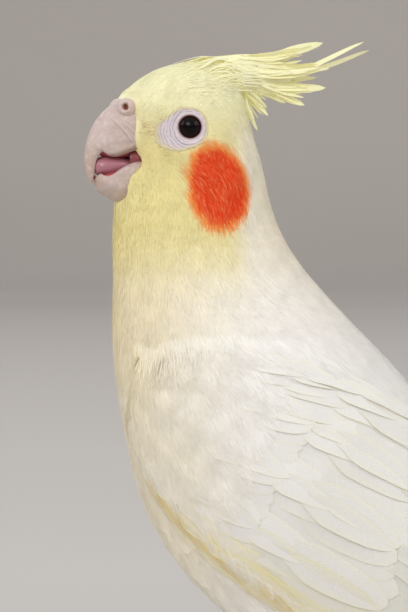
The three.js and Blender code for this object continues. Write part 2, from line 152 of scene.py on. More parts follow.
camera_data = bpy.data.cameras.new("camera")
camera_data.lens = SENSOR * VIEW_DISTANCE / FRAME_HEIGHT
camera_data.sensor_width = SENSOR
camera = bpy.data.objects.new("camera", camera_data)
camera.location = aim + back * VIEW_DISTANCE
facing_from(camera, back)
bpy.context.scene.camera = camera
bpy.context.scene.view_settings.view_transform = "Standard"
print("lens", round(camera_data.lens), "mm at", VIEW_DISTANCE, "m")

# %% [markdown]
# ## Meshes from arrays, and finishes from expressions
# Thousands of feathers could be added one by one with Blender's own operators, but that takes
# minutes. They are worked out together as arrays and become one mesh in a moment. Shader maths
# reads best as sums, so a small class wraps a socket and turns +, - and * into Math nodes.

# %% Mesh maker
def add_tint(mesh, tint):
    """A colour for each point, which the finishes read."""
    colours = np.ones((len(mesh.vertices), 4), np.float32)
    colours[:, :3] = tint
    layer = mesh.color_attributes.new("tint", "FLOAT_COLOR", "POINT")
    layer.data.foreach_set("color", colours.ravel())


def add_places(mesh, layer, places):
    """A UV map, from one place for each point."""
    corners = np.empty(len(mesh.loops), np.int32)
    mesh.loops.foreach_get("vertex_index", corners)
    places = np.asarray(places, np.float32)[corners]
    mesh.uv_layers.new(name=layer).data.foreach_set("uv", places.ravel())


def make_mesh(name, points, faces, tint=None, bake=None, vane=None, normals=None):
    """One object from arrays. bake is a place on the unwrap and vane the place across and along
    its feather, one row for each point; tint is a colour, one for each point or one for all."""
    mesh = bpy.data.meshes.new(name)
    faces = [np.asarray(group) for group in (faces if isinstance(faces, list) else [faces])]
    corners = np.concatenate([group.ravel() for group in faces])
    sizes = np.concatenate([np.full(len(group), group.shape[1]) for group in faces])
    mesh.vertices.add(len(points))
    mesh.vertices.foreach_set("co", np.asarray(points, np.float32).ravel())
    mesh.loops.add(len(corners))
    mesh.loops.foreach_set("vertex_index", corners.astype(np.int32))
    mesh.polygons.add(len(sizes))
    mesh.polygons.foreach_set("loop_start", (np.cumsum(sizes) - sizes).astype(np.int32))
    mesh.update(calc_edges=True)
    mesh.polygons.foreach_set("use_smooth", np.ones(len(sizes), bool))
    for layer, places in (("OFBake", bake), ("vane", vane)):
        if places is not None:
            add_places(mesh, layer, places)
    if tint is not None:
        add_tint(mesh, tint)
    if normals is not None:
        mesh.normals_split_custom_set_from_vertices(unit(normals).tolist())
    piece = bpy.data.objects.new(name, mesh)
    bpy.context.scene.collection.objects.link(piece)
    return piece


def net(rows, columns, closed=False):
    """Four-sided faces over a grid of points, joined round on itself where it is closed."""
    last = columns if closed else columns - 1
    i, j = np.meshgrid(np.arange(rows - 1), np.arange(last), indexing="ij")
    step = (j + 1) % columns
    quads = [i * columns + j, i * columns + step, (i + 1) * columns + step, (i + 1) * columns + j]
    return np.stack(quads, -1).reshape(-1, 4)


def repeated(faces, count, size):
    """The same faces for each of many copies that have size points each."""
    return (faces[None] + (np.arange(count) * size)[:, None, None]).reshape(-1, faces.shape[1])


print("a net of 3 by 4 places has", len(net(3, 4)), "faces and", len(net(3, 4, True)), "when closed")


# %% Curves and tubes
def curve(points, count):
    """A smooth curve through rows of numbers, read off count times."""
    points = np.asarray(points, float)
    ends = np.vstack([2 * points[0] - points[1], points, 2 * points[-1] - points[-2]])
    t = np.linspace(0, len(points) - 1, count)
    i = np.minimum(t.astype(int), len(points) - 2)
    u = (t - i)[:, None]
    a, b, c, d = [ends[i + k] for k in range(4)]
    bend, twist = 2 * a - 5 * b + 4 * c - d, 3 * (b - c) + d - a
    return 0.5 * (2 * b + (c - a) * u + bend * u**2 + twist * u**3)


def tube(path, width, depth, up, around=16):
    """Rings round a path, width to the sides of it and depth along up."""
    tangent = unit(np.gradient(path, axis=0))
    across = unit(np.cross(tangent, up))
    rise = np.cross(across, tangent)
    angle = np.linspace(0, 2 * math.pi, around, endpoint=False)
    sides = across[:, None] * (width[:, None] * np.cos(angle))[..., None]
    return path[:, None] + (sides + rise[:, None] * (depth[:, None] * np.sin(angle))[..., None]) * MM


def round_ends(count, steep):
    """1 along a row of places, falling off at both ends as a rod's ends do."""
    return np.minimum(1, steep * (1 - np.abs(np.linspace(-1, 1, count)))) ** 0.5


def dress(piece, finish, replaced=()):
    """Gives a piece its finish and body, and hides the solids that it stands for."""
    piece.data.materials.clear()
    piece.data.materials.append(finish)
    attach(piece, BODY)
    if replaced:
        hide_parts(*replaced)
    return piece


print("a curve through 3 places ends at", curve([(0, 0), (1, 2), (3, 3)], 5)[-1])


# %% Shader expressions
class Shade:
    """One output of a node. Sums of these add Math nodes."""

    def __init__(self, finish, socket):
        self.finish = finish
        self.socket = socket

    def _math(self, operation, *values):
        return self.finish.add("ShaderNodeMath", {"operation": operation}, dict(enumerate(values)))

    def __add__(self, other):
        return self._math("ADD", self, other)

    def __sub__(self, other):
        return self._math("SUBTRACT", self, other)

    def __mul__(self, other):
        return self._math("MULTIPLY", self, other)

    def __rsub__(self, other):
        return self._math("SUBTRACT", other, self)

    __radd__ = __add__
    __rmul__ = __mul__

    def sine(self):
        return self._math("SINE", self)

    def size(self):
        return self._math("ABSOLUTE", self)


class Finish:
    """A material while it is being made. add makes any node and returns its first output."""

    def __init__(self, name):
        self.material = bpy.data.materials.new(name)
        self.material.use_nodes = True
        self.tree = self.material.node_tree
        self.tree.nodes.clear()

    def add(self, kind, settings=None, sockets=None, output=0):
        node = self.tree.nodes.new(kind)
        for key, value in (settings or {}).items():
            setattr(node, key, value)
        for key, value in (sockets or {}).items():
            if isinstance(value, Shade):
                self.tree.links.new(value.socket, node.inputs[key])
            else:
                node.inputs[key].default_value = value
        return Shade(self, node.outputs[output]) if len(node.outputs) else None

    def tint(self):
        return self.add("ShaderNodeAttribute", {"attribute_name": "tint"})

    def places(self):
        return self.add("ShaderNodeTexCoord", output="Object")

    def noise(self, scale, detail=2.0, vector=None):
        sockets = {"Vector": vector or self.places(), "Scale": scale, "Detail": detail}
        return self.add("ShaderNodeTexNoise", None, sockets)

    def mix(self, a, b, share):
        """A Mix node's inputs 0, 6 and 7 are its factor and its two colours."""
        node = self.tree.nodes.new("ShaderNodeMix")
        node.data_type = "RGBA"
        for index, value in ((0, share), (6, a), (7, b)):
            if isinstance(value, Shade):
                self.tree.links.new(value.socket, node.inputs[index])
            elif index:
                node.inputs[index].default_value = (*value, 1)
            else:
                node.inputs[index].default_value = value
        return Shade(self, node.outputs[2])

    def bump(self, height, strength, distance):
        sockets = {"Height": height, "Strength": strength, "Distance": distance}
        return self.add("ShaderNodeBump", None, sockets)

    def done(self, **sockets):
        named = {key.replace("_", " "): value for key, value in sockets.items()}
        shader = self.add("ShaderNodeBsdfPrincipled", None, named)
        self.add("ShaderNodeOutputMaterial", None, {"Surface": shader})
        return self.material


def paint(red, green, blue):
    """A colour as a paint chart gives it, from 0 to 255, as the light that it reflects."""
    share = np.array([red, green, blue]) / 255
    return np.where(share <= 0.04045, share / 12.92, ((share + 0.055) / 1.055) ** 2.4)


print("middle grey on a chart reflects", paint(128, 128, 128).round(2))

# %% [markdown]
# ## Studio
# A pale bird is shown best in a light tent: one smooth sweep of pale paper all round, with no
# horizon line, and soft light from every side. A sky picture could light it too, but a few wide
# lamps leave each side's strength free to choose: the strongest stands beside the camera, and a
# small one is there only for the wet eye to mirror.

# %% Stage of paper
STAGE_RADIUS, STAGE_WALL = 5.0, 1.3
BEND = 1.2  # radius of the curve between the floor and the wall


def build_stage():
    turn = np.linspace(0, math.pi / 2, 14)
    radius = np.concatenate([[0.0, 0.3, 0.7], STAGE_RADIUS - BEND + BEND * np.sin(turn), [STAGE_RADIUS]])
    height = np.concatenate([[0.0, 0.0, 0.0], BEND - BEND * np.cos(turn), [STAGE_WALL]])
    around = np.linspace(0, 2 * math.pi, 96, endpoint=False)
    points = np.stack([
        np.outer(radius, np.cos(around)),
        np.outer(radius, np.sin(around)),
        np.repeat(height[:, None], len(around), 1),
    ], -1).reshape(-1, 3)
    paper = Finish("stage_paper")
    # painted light: the paper is lighter near the bird and darker further off, a painted falloff
    far = paper.add("ShaderNodeVectorMath", {"operation": "LENGTH"}, {0: paper.places()}, 1)
    far = paper.add("ShaderNodeMapRange", None, {0: far, 1: 0.5, 2: 3.0})
    shade = paper.mix(paint(198, 192, 186), paint(158, 151, 145), far)
    shade = paper.mix(shade, paint(176, 169, 163), 0.3 * paper.noise(3.0))
    sweep = make_mesh("studio_sweep", points, net(len(radius), len(around), closed=True))
    sweep.data.materials.append(paper.done(Base_Color=shade, Roughness=0.9))


build_stage()
print("stage", 2 * STAGE_RADIUS, "m across")

# %% Lamps
# azimuth, rise and width of the light, in degrees, then its strength and colour
LAMPS = {
    "window": (84, 26, 36, 0.95, (1.0, 0.98, 0.96)),
    "left": (22, 25, 34, 0.55, (1.0, 0.98, 0.95)),
    "right": (160, 26, 34, 0.5, (1.0, 0.99, 0.98)),
    "far": (285, 26, 36, 0.5, (1.0, 0.99, 0.98)),
}
for name, (azimuth, rise, spread, power, colour) in LAMPS.items():
    lamp = bpy.data.lights.new(name, "SUN")  # a far source, so that the whole stage is lit evenly
    lamp.angle = math.radians(spread)
    lamp.energy = power
    lamp.color = colour
    facing_from(bpy.data.objects.new(name, lamp), toward(azimuth, rise))
catch = bpy.data.lights.new("catch", "AREA")
catch.size = 0.09
catch.energy = 0.5
catch_holder = bpy.data.objects.new("catch", catch)
catch_holder.location = EYES["left"] + toward(78, 32) * 0.9
facing_from(catch_holder, toward(78, 32))
world = bpy.data.worlds.new("soft_light")
world.use_nodes = True
world.node_tree.nodes["Background"].inputs["Color"].default_value = (0.93, 0.96, 1.0, 1)
world.node_tree.nodes["Background"].inputs["Strength"].default_value = 0.7
bpy.context.scene.world = world
print(len(LAMPS), "wide lamps, a catch light and a pale sky")

# %% [markdown]
# ## The plumage's colours
# A lutino cockatiel has no dark pigment. Its face and crown are lemon yellow, a round orange patch
# marks each cheek, the throat and breast are cream with a yellow wash, and the back and wings are
# nearly white. They could be painted by hand on an unwrapped skin, but then the coat would need
# its own copy. One function gives the colour of any place instead, and both the skin and the coat
# ask it, so that the markings agree.

# %% Markings
CROWN = paint(241, 237, 198)
FACE = paint(234, 223, 162)
CHEEK = paint(228, 62, 10)
CHEEK_RIM = paint(240, 150, 70)
CHEEK_SHAFT = paint(250, 176, 120)
CREAM = paint(240, 231, 210)
WHITE = paint(240, 237, 233)
WASH = paint(232, 216, 150)
EDGE = paint(236, 216, 140)
BARE = paint(236, 226, 234)
CHEEK_PLACE = {"forward": -1.3, "up": -11.4, "long": 8.1, "wide": 6.7, "lean": math.radians(8)}
WAVES = unit(chance.normal(size=(9, 3)))
PHASES = chance.uniform(0, 2 * math.pi, 9)


def ripple(points, size):
    """A soft irregular pattern from -1 to 1 over places in metres; size is its scale in mm."""
    phase = points / MM @ (WAVES * (2 * math.pi / size)).T * np.linspace(0.7, 1.6, len(WAVES))
    return np.sin(phase + PHASES).sum(-1) / len(WAVES) * 1.7


def cheek_distance(points):
    """0 in the middle of a cheek patch and 1 at its rim."""
    forward, left, up = in_head(points).T
    c, s = math.cos(CHEEK_PLACE["lean"]), math.sin(CHEEK_PLACE["lean"])
    a, b = forward - CHEEK_PLACE["forward"], up - CHEEK_PLACE["up"]
    along, across = b * c + a * s, a * c - b * s
    reach = np.hypot(along / CHEEK_PLACE["long"], across / CHEEK_PLACE["wide"])
    return np.where(np.abs(left) > 4, reach, 9.0)


def wing_edge(points):
    """1 on the yellow line where the wing's lower edge lies on the flank."""
    x, y, z = in_body(points).T
    height = np.interp(y, [-10, -5, 11, 21, 45], [-69, -75, -92, -97, -106])
    near = 1 - smooth(np.abs(z - height) / 2.4, 0, 1)
    return near * smooth(np.abs(x), 9, 13) * smooth(y, -12, -4) * (1 - smooth(y, 25, 45))


def markings(points):
    """The plumage's colour at each place: body first, then head, then cheek."""
    _, y, z = in_body(points).T
    forward, _, up = in_head(points).T
    cream = smooth(z - 16 * smooth(y, -6, 10), -66, -24)
    colour = blend(np.broadcast_to(WHITE, points.shape), CREAM, cream)
    front = smooth(-y, -22, 12) * smooth(z, -130, -80)
    colour = blend(colour, WASH, 0.4 * front * (0.7 + 0.3 * ripple(points, 22)))
    colour = blend(colour, EDGE, 0.75 * wing_edge(points))
    on_head = smooth(z + 0.9 * np.minimum(forward + 4, 0), -37, -17)
    behind = smooth(-forward, 2, 9) * (1 - smooth(up, 0, 7))
    # painted light: whiter behind the face, to lift the shade where the head turns from the lamps
    colour = blend(colour, WHITE, 0.6 * behind * on_head)
    face = blend(np.broadcast_to(FACE, points.shape), CROWN, smooth(up, -6, 8))
    colour = blend(colour, face, on_head * (1 - 0.85 * behind))
    patch = cheek_distance(points) + 0.06 * ripple(points, 2.5)
    colour = blend(colour, CHEEK_RIM, 1 - smooth(patch, 0.95, 1.2))
    colour = blend(colour, CHEEK, 1 - smooth(patch, 0.8, 1.02))
    return colour * (1 + 0.05 * ripple(points, 5)[:, None])


print("colour of the crown", markings(head([0.0], 0, 12)).round(2))

# %% [markdown]
# ## The skin
# Under its feathers a bird is one continuous skin. The solids of the head, neck, trunk, rump,
# thighs and wings are joined by a voxel remesh, smoothed, and drawn in by the depth of the coat,
# so that the tips of the feathers come out at the surface of the solids.

# %% Triangles of several nodes
FLESH = ["head", "neck", "trunk", "rump", "thigh_left", "thigh_right", "wing_left", "wing_right"]
VOXEL = 0.9 * MM
SWELL = 0.25 * MM  # closes the thin cuts between the solids
BALL = (24, 32)  # rows and columns of an ellipsoid


def joined(nodes, swell):
    """The triangles of several nodes, each pushed out by a small distance to close their gaps."""
    points, faces, count = [], [], 0
    for node in nodes:
        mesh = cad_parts[node].data
        mesh.calc_loop_triangles()
        place = np.empty(len(mesh.vertices) * 3)
        mesh.vertices.foreach_get("co", place)
        corner = np.empty(len(mesh.loop_triangles) * 3, np.int32)
        mesh.loop_triangles.foreach_get("vertices", corner)
        place, inverse = np.unique(place.reshape(-1, 3).round(7), axis=0, return_inverse=True)
        corner = inverse.ravel()[corner].reshape(-1, 3)
        points.append(place + point_normals(place, corner) * swell)
        faces.append(corner + count)
        count += len(place)
    return np.concatenate(points), np.concatenate(faces)


def point_normals(points, faces):
    """The mean direction of the faces round each point."""
    a, b, c = points[faces[:, 0]], points[faces[:, 1]], points[faces[:, 2]]
    flat = np.cross(b - a, c - a)
    total = np.zeros_like(points)
    for column in range(3):
        np.add.at(total, faces[:, column], flat)
    return unit(total)


def ellipsoid(centre, radii):
    rows, columns = BALL
    polar = np.linspace(0, math.pi, rows)
    turn = np.linspace(0, 2 * math.pi, columns, endpoint=False)
    ring = np.stack([np.cos(turn), np.sin(turn), np.zeros(columns)], -1)
    ball = np.sin(polar)[:, None, None] * ring + np.cos(polar)[:, None, None] * UP
    return centre + ball * radii


def head_ball(centre, radii):
    """An ellipsoid given in the head's directions."""
    return head(*np.moveaxis(ellipsoid(centre, radii), -1, 0))


def applied(piece):
    """The object's mesh with its modifiers worked in."""
    seen = piece.evaluated_get(bpy.context.evaluated_depsgraph_get())
    mesh = bpy.data.meshes.new_from_object(seen)
    old = piece.data
    piece.modifiers.clear()
    piece.data = mesh
    bpy.data.meshes.remove(old)
    return piece


def fused(piece, voxel, turns, smooth_shade=True):
    """Runs a piece's overlapping parts together and softens the joins in a number of turns."""
    remesh = piece.modifiers.new("remesh", "REMESH")
    remesh.mode = "VOXEL"
    remesh.voxel_size = voxel
    remesh.use_smooth_shade = smooth_shade
    relax = piece.modifiers.new("relax", "SMOOTH")
    relax.factor = 0.5
    relax.iterations = turns
    return applied(piece)


def arrays_of(piece):
    """The places and triangles of a piece's mesh."""
    mesh = piece.data
    mesh.calc_loop_triangles()
    points = np.empty(len(mesh.vertices) * 3)
    mesh.vertices.foreach_get("co", points)
    faces = np.empty(len(mesh.loop_triangles) * 3, np.int32)
    mesh.loop_triangles.foreach_get("vertices", faces)
    return points.reshape(-1, 3), faces.reshape(-1, 3)


flesh_points, flesh_faces = joined(FLESH, SWELL)
print("flesh", len(flesh_faces), "triangles from", len(FLESH), "solids")

# %% [markdown]
# The solids are rounder than the bird in a few places, where feathers stand out as a mass of their
# own. Longer strands there would look like bristles, so soft lumps are added to the flesh first:
# puffs round the bill, a thin wedge on the crown that carries the crest, and fillings where the
# wings lie on the back and breast.

# %% Puffs, wedge and bridge
# Feathers puff out at the sides of the bill, under the chin and on the brow: centre and radii on
# the head. Those with a place to the left are made on both sides.
PUFFS = [
    ((12.3, 4.3, -13.3), (4.6, 2.1, 4.9)), ((13.0, 0, -16.2), (5.0, 4.6, 2.6)),
    ((11.6, 3.9, -1.8), (3.5, 2.0, 5.4)), ((12.4, 0, 4.8), (5.2, 3.0, 4.2)),
]
# The feathers of the crown run back into a thin wedge: forward, up, half width, half height.
WEDGE = [
    (6, 7.0, 2.0, 1.5), (0, 8.6, 5.4, 3.8), (-6, 9.9, 4.7, 4.5), (-11, 10.8, 3.3, 4.2),
    (-15, 11.2, 2.1, 3.9), (-19, 11.2, 1.3, 3.5), (-22, 11.0, 0.8, 2.7), (-25, 10.8, 0.3, 1.2),
]
# The long feathers of the back bridge the hollow between the wings: y, top, half width.
BRIDGE = [
    (50, -60.8, 6), (58, -66.2, 10), (66, -73.2, 10.5), (74, -79.9, 10.4), (82, -86.6, 10.2),
    (90, -93.4, 9.6), (98, -99.9, 8.8), (106, -105.7, 7.6), (114, -111.3, 6.2), (119, -116.2, 2.4),
]
BRIDGE_DEPTH = 3.2
WING_BEND = {"out": 14.6, "y": -7.2, "z": -57.0, "radii": (4.2, 3.6, 8.5)}
SKULL_BACK = 1.9  # mm by which the back of the skull is flatter than the solid

forward, _, up = in_head(flesh_points).T
skull_back = smooth(-forward, 4, 12) * smooth(up, -9, 1) * (1 - smooth(up, 9, 12))
flesh_points = flesh_points + FORWARD * (SKULL_BACK * MM * skull_back)[:, None]

lumps = []
for (ahead, out, rise), radii in PUFFS:
    for side in (1, -1) if out else (1,):
        lumps.append(head_ball((ahead, out * side, rise), radii))
wedge = curve(WEDGE, 50)
wedge_ends = round_ends(50, 6) + 0.01
wedge_path = head(wedge[:, 0], 0, wedge[:, 1])
lumps.append(tube(wedge_path, wedge[:, 2] * wedge_ends, wedge[:, 3] * wedge_ends, UP, 32))
bridge = curve(BRIDGE, 60)
bridge_ends = round_ends(60, 6) + 0.01
bridge_path = bird(0, bridge[:, 0], bridge[:, 1] - BRIDGE_DEPTH)
lumps.append(tube(bridge_path, bridge[:, 2] * bridge_ends, BRIDGE_DEPTH * bridge_ends, UP, 32))
for side in (-1, 1):
    bend_place = bird(WING_BEND["out"] * side, WING_BEND["y"], WING_BEND["z"])
    lumps.append(ellipsoid(bend_place, np.array(WING_BEND["radii"]) * MM))
for lump in lumps:
    quads = net(len(lump), 32, closed=True) + len(flesh_points)
    flesh_faces = np.concatenate([flesh_faces, quads[:, :3], quads[:, [0, 2, 3]]])
    flesh_points = np.concatenate([flesh_points, lump.reshape(-1, 3)])
print(len(lumps), "lumps added")

# %% One skin
skin = fused(make_mesh("skin", flesh_points, flesh_faces), VOXEL, 8, smooth_shade=False)
form_points, form_faces = arrays_of(skin)
form_normals = point_normals(form_points, form_faces)
form = BVHTree.FromPolygons(form_points.tolist(), form_faces.tolist())
print("form", len(form_faces), "triangles")

# %% [markdown]
# ## Bare skin round the eye
# The eye looks outwards and a little forward. Round it is a patch of bare wrinkled skin, which
# reaches furthest on the side towards the bill. An oval would be too plain for its edge, so the
# edge is given as a reach from the eye at several angles.

# %% Where the face is bare
GAZE_FORWARD = 0.9 / 2.5  # the eye looks this much forward for each part outwards
LID_OPENING = 2.5
BARE_REACH = [  # degrees round from the forward side, and mm
    (-180, 3.5), (-90, 4.2), (-45, 6.2), (-25, 7.3), (0, 6.9), (25, 4.9), (90, 3.9), (180, 3.5),
]
MOUTH_MIDDLE, MOUTH_RADII = (14.2, 0, -6.6), (4.4, 4.9, 3.4)


def eye_frame(side):
    """The eye's own directions: out along the gaze, forward, and up."""
    gaze = unit(LEFTWARD * side + FORWARD * GAZE_FORWARD)
    return gaze, unit(FORWARD - gaze * (FORWARD @ gaze)), UP


def bare_share(points):
    """Below 1 inside the bare patch of either eye."""
    share = np.full(len(points), 9.0)
    for name, side in SIDES.items():
        gaze, ahead, up = eye_frame(side)
        offset = (points - EYES[name]) / MM
        a, b = offset @ ahead, offset @ up
        angle = np.degrees(np.arctan2(b, a))
        reach = np.interp(angle, *zip(*BARE_REACH))
        facing = offset @ gaze > -1
        share = np.where(facing, np.minimum(share, np.hypot(a, b) / reach), share)
    return share


def mouth_share(points):
    """Below 1 inside the opening between the two halves of the bill."""
    return np.linalg.norm((in_head(points) - MOUTH_MIDDLE) / MOUTH_RADII, axis=1)


print("bare skin round each eye on", (bare_share(form_points) < 1).sum(), "of", len(form_points), "places")

# %% [markdown]
# The coat is thin round the bill and eyes, about a millimetre deep on the head and half as much
# again on the body. The skin is drawn in by that depth along its normals. Under the lids it goes
# straight in along the gaze, so that it never pokes through them.

# %% Draw the skin in
FACE_COAT, HEAD_COAT, BODY_COAT, LEG_COAT, RUMP_COAT = 0.3, 0.9, 1.4, 1.0, 2.0
UNDER_LIDS = 1.1
BILL_BASE = head(14.0, 0, -2.0)


def eye_distance(points):
    """Millimetres from the nearer eye."""
    return np.minimum(*[np.linalg.norm(points - centre, axis=1) / MM for centre in EYES.values()])


def on_crest(points):
    """1 on the crown's wedge and 0 on the rest of the bird."""
    forward, _, up = in_head(points).T
    return smooth(up, 6.5, 9.5) * smooth(-forward, 3, 8)


def coat_depth(points):
    """How deep the plumage is at each place, in mm."""
    _, y, z = in_body(points).T
    from_bill = np.linalg.norm(points - BILL_BASE, axis=1) / MM
    near = np.minimum(from_bill - 4.5, eye_distance(points) - 2.5)
    depth = np.full(len(points), BODY_COAT)
    for coat, share in (
        (HEAD_COAT, smooth(z, -52, -26)),
        (FACE_COAT, 1 - smooth(near, 1.5, 9)),
        (FACE_COAT, on_crest(points)),
        (LEG_COAT, 1 - smooth(z, -128, -118)),
    ):
        depth = depth + (coat - depth) * share
    return depth + RUMP_COAT * smooth(y, 104, 118)  # the end of the rump is all down


under_lids = 1 - smooth(bare_share(form_points), 0.9, 1.0)
on_left = (in_head(form_points)[:, 1] > 0)[:, None]
gazes = np.where(on_left, eye_frame(1)[0], eye_frame(-1)[0])
drawn_in = coat_depth(form_points) * (1 - under_lids)
skin_points = form_points - form_normals * (drawn_in * MM)[:, None]
skin_points = skin_points - gazes * (under_lids * UNDER_LIDS * MM)[:, None]
skin_normals = point_normals(skin_points, form_faces)
skin.data.vertices.foreach_set("co", skin_points.astype(np.float32).ravel())
skin.data.update()
skin_tree = BVHTree.FromPolygons(skin_points.tolist(), form_faces.tolist())
print("skin drawn in by", drawn_in.min().round(1), "to", drawn_in.max().round(1), "mm")


# %% Finish of the skin
def unwrap(points):
    """Where a place lies when the skin is opened out: round the body, and along it."""
    x, y, z = in_body(points).T
    along = np.clip((60 + 0.72 * (y - z)) / 280, 0, 1)
    middle_y = np.interp(-z, [-15, 20, 60, 100, 125], [0, 2, 16, 50, 90])
    around = np.arctan2(x, (y - middle_y) * 0.7 + 1e-6) / (2 * math.pi) + 0.5
    return np.stack([0.03 + 0.94 * around, 0.03 + 0.94 * along], -1)


add_tint(skin.data, markings(skin_points))
add_places(skin.data, "OFBake", unwrap(skin_points))

down = Finish("skin_and_down")
down_shade = down.mix(down.tint(), paint(232, 214, 190), 0.15 * down.noise(900))
down_bump = down.bump(down.noise(1600, 3), 0.5, 0.2 * MM)
# the skin glows faintly in its own colour: a painted glow for light let through the feathers
down_finish = down.done(
    Base_Color=down_shade, Roughness=0.9, Normal=down_bump,
    Emission_Color=down_shade, Emission_Strength=0.1,
)
dress(skin, down_finish, FLESH[:6])
print("skin", len(form_faces), "triangles")

# %% [markdown]
# ## The lie of the feathers
# Feathers point away from the bill over the face, part round the eyes, and then follow the neck
# and body towards the tail. They could be combed by hand as particle hair, but that isn't solid
# mesh. So the direction at any place is worked out: it is read off a line through the middle of
# the bird, turned away from the bill on the face, and laid flat on the skin.

# %% Flow
MIDLINE = np.array([
    [0, -10], [0, -22], [3, -32], [10, -46], [24, -66], [44, -88], [70, -104], [100, -115], [136, -124],
])  # towards the tail and up, from the head to the tail


def flow(points, normals):
    """The way that a feather rooted at each place points."""
    _, y, z = in_body(points).T
    steps = np.linspace(0, len(MIDLINE) - 1, 70)
    line = np.stack([np.interp(steps, np.arange(len(MIDLINE)), MIDLINE[:, k]) for k in (0, 1)], -1)
    tangents = unit(np.gradient(line, axis=0))
    place = np.stack([y, z], -1)
    nearest = ((place[:, None] - line[None]) ** 2).sum(-1).argmin(1)
    direction = np.zeros_like(points)
    direction[:, 1:] = tangents[nearest]
    radial = unit(points - head(15.0, 0, -1.0))
    reach = np.linalg.norm(points - BILL_BASE, axis=1) / MM
    on_head = smooth(z, -30, -12)
    falling = smooth(reach, 10, 27)
    facial = unit(blend(radial, np.array([0.0, 0.0, -1.0]), 0.75 * falling))
    direction = blend(direction, facial, on_head)
    forward, _, up = in_head(points).T
    backward = unit(UP * 0.12 - FORWARD)
    direction = blend(direction, backward, smooth(up, 6.0, 9.0) * smooth(-forward, -6, 4))
    for centre in EYES.values():
        away = points - centre
        distance = np.linalg.norm(away, axis=1) / MM
        parting = 0.9 * np.exp(-((distance - 3.5) / 3.0) ** 2)
        direction = direction + unit(away) * parting[:, None]
    return unit(direction - normals * (direction * normals).sum(1, keepdims=True))


def thinned(points, normals, spacing):
    """Drops places that are closer to an earlier one than spacing, given for each in metres."""
    kept, cells = [], {}
    cell = spacing.max()
    for index, place in enumerate(points):
        key = tuple((place // cell).astype(int))
        near = [
            other
            for i in (-1, 0, 1) for j in (-1, 0, 1) for k in (-1, 0, 1)
            for other in cells.get((key[0] + i, key[1] + j, key[2] + k), ())
        ]
        if near:
            gaps = ((points[near] - place) ** 2).sum(1)
            if gaps.min() < spacing[index] ** 2:
                continue
        cells.setdefault(key, []).append(index)
        kept.append(index)
    return points[kept], normals[kept]


def landed(points, tree=skin_tree):
    """The nearest place on the skin and its normal, for each point."""
    places, normals = np.empty_like(points), np.empty_like(points)
    for index, point in enumerate(points):
        place, normal, _, _ = tree.find_nearest(point)
        places[index] = place
        normals[index] = normal
    return places, normals


print("over a level back a feather points", flow(bird([0.0], 60, -60), UP[None]).round(2))

# %% [markdown]
# ## Feathers, all in one way
# Every feather is a flat pattern of points laid on a path. The path is a row of points from the
# root to the tip; the pattern says how far across and along each point lies. A hair is two faces,
# a wisp is made of separate barbs, and all other feathers are closed vanes, which stay whole
# where loose barbs would look torn.

# %% Paths
PATH_STEPS = 7


def along(rows, t):
    """Reads each row of path points at the share t of its length."""
    last = rows.shape[1] - 1
    place = np.clip(t, 0, 1) * last
    index = np.minimum(place.astype(int), last - 1)
    share = (place - index)[..., None]
    pick = np.arange(len(rows))[:, None]
    return rows[pick, index] * (1 - share) + rows[pick, index + 1] * share


def bowed(roots, middles, tips):
    """Paths that bend from roots to tips, drawn towards their middles."""
    t = np.linspace(0, 1, PATH_STEPS)[None, :, None]
    roots, middles, tips = roots[:, None], middles[:, None], tips[:, None]
    return (1 - t) ** 2 * roots + 2 * t * (1 - t) * middles + t * t * tips


def lying(points, normals, lengths, rise, sway):
    """Paths that lie back over the skin from each root, and the way their upper sides face."""
    lie = flow(points, normals)
    lie = unit(lie + np.cross(lie, normals) * sway[:, None])
    tips, tip_normals = landed(points + lie * (lengths * MM)[:, None])
    tips = tips + tip_normals * (rise * MM)[:, None]
    middles = (points + tips) / 2 + unit(normals + tip_normals) * (rise * 0.5 * MM)[:, None]
    share = np.linspace(0, 1, PATH_STEPS)[None]
    return bowed(points, middles, tips), unit(blend(normals[:, None], tip_normals[:, None], share))


# %% Feathers along paths
BAKE_PATCH = 0.0014  # how far a feather's patch reaches from its root's place on the unwrap


def feather_mesh(
    name, paths, facing, pattern, faces, widths, shade, rim, camber, finish, soft=None, ragged=0.0,
):
    """Lays one flat pattern of points (across, along, how far out) on every path. shade and rim
    are colours, camber bends the feather across, soft rounds its shading, ragged frays its edge."""
    count, size = len(paths), len(pattern[0])
    across, run, out = pattern
    uneven = chance.normal(0, 1, (count, size // 6 + 1)).repeat(6, 1)[:, :size]
    t = np.broadcast_to(run, (count, size)) * (1 + ragged * uneven * out)
    centre, up = along(paths, t), unit(along(facing, t))
    near = np.clip(t, 0.02, 0.98)
    step = along(paths, near + 0.02) - along(paths, near - 0.02)
    side = unit(np.cross(step, up))
    x = (across * (widths * MM / 2)[:, None])[..., None]
    places = centre + side * x - up * (x**2 / (widths * MM)[:, None, None] * camber)
    past = np.clip(t - 1, 0, None)[..., None]
    places = places + unit(step) * past * np.linalg.norm(paths[:, -1] - paths[:, 0], axis=1)[:, None, None]
    normals = None if soft is None else up + side * x / (widths * MM)[:, None, None] * soft
    bake = unwrap(paths[:, 0])[:, None] + np.stack([across, run - 0.5], -1)[None] * BAKE_PATCH
    edge = np.clip(np.maximum(out, smooth(run, 0.75, 1.1)), 0, 1) ** 2
    tint = shade[:, None] + (rim - shade)[:, None] * edge[None, :, None]
    length = np.linalg.norm(np.diff(paths, axis=1), axis=2).sum(1)
    vane = np.stack(np.broadcast_arrays(across * widths[:, None] / 2, run * length[:, None] / MM), -1)
    piece = make_mesh(
        name, places.reshape(-1, 3), [repeated(group, count, size) for group in faces],
        tint.reshape(-1, 3), bake.reshape(-1, 2), vane.reshape(-1, 2),
        None if normals is None else normals.reshape(-1, 3),
    )
    triangles = sum(len(group) * (group.shape[1] - 2) for group in faces) * count
    print(name, count, "feathers,", triangles, "triangles")
    return dress(piece, finish)


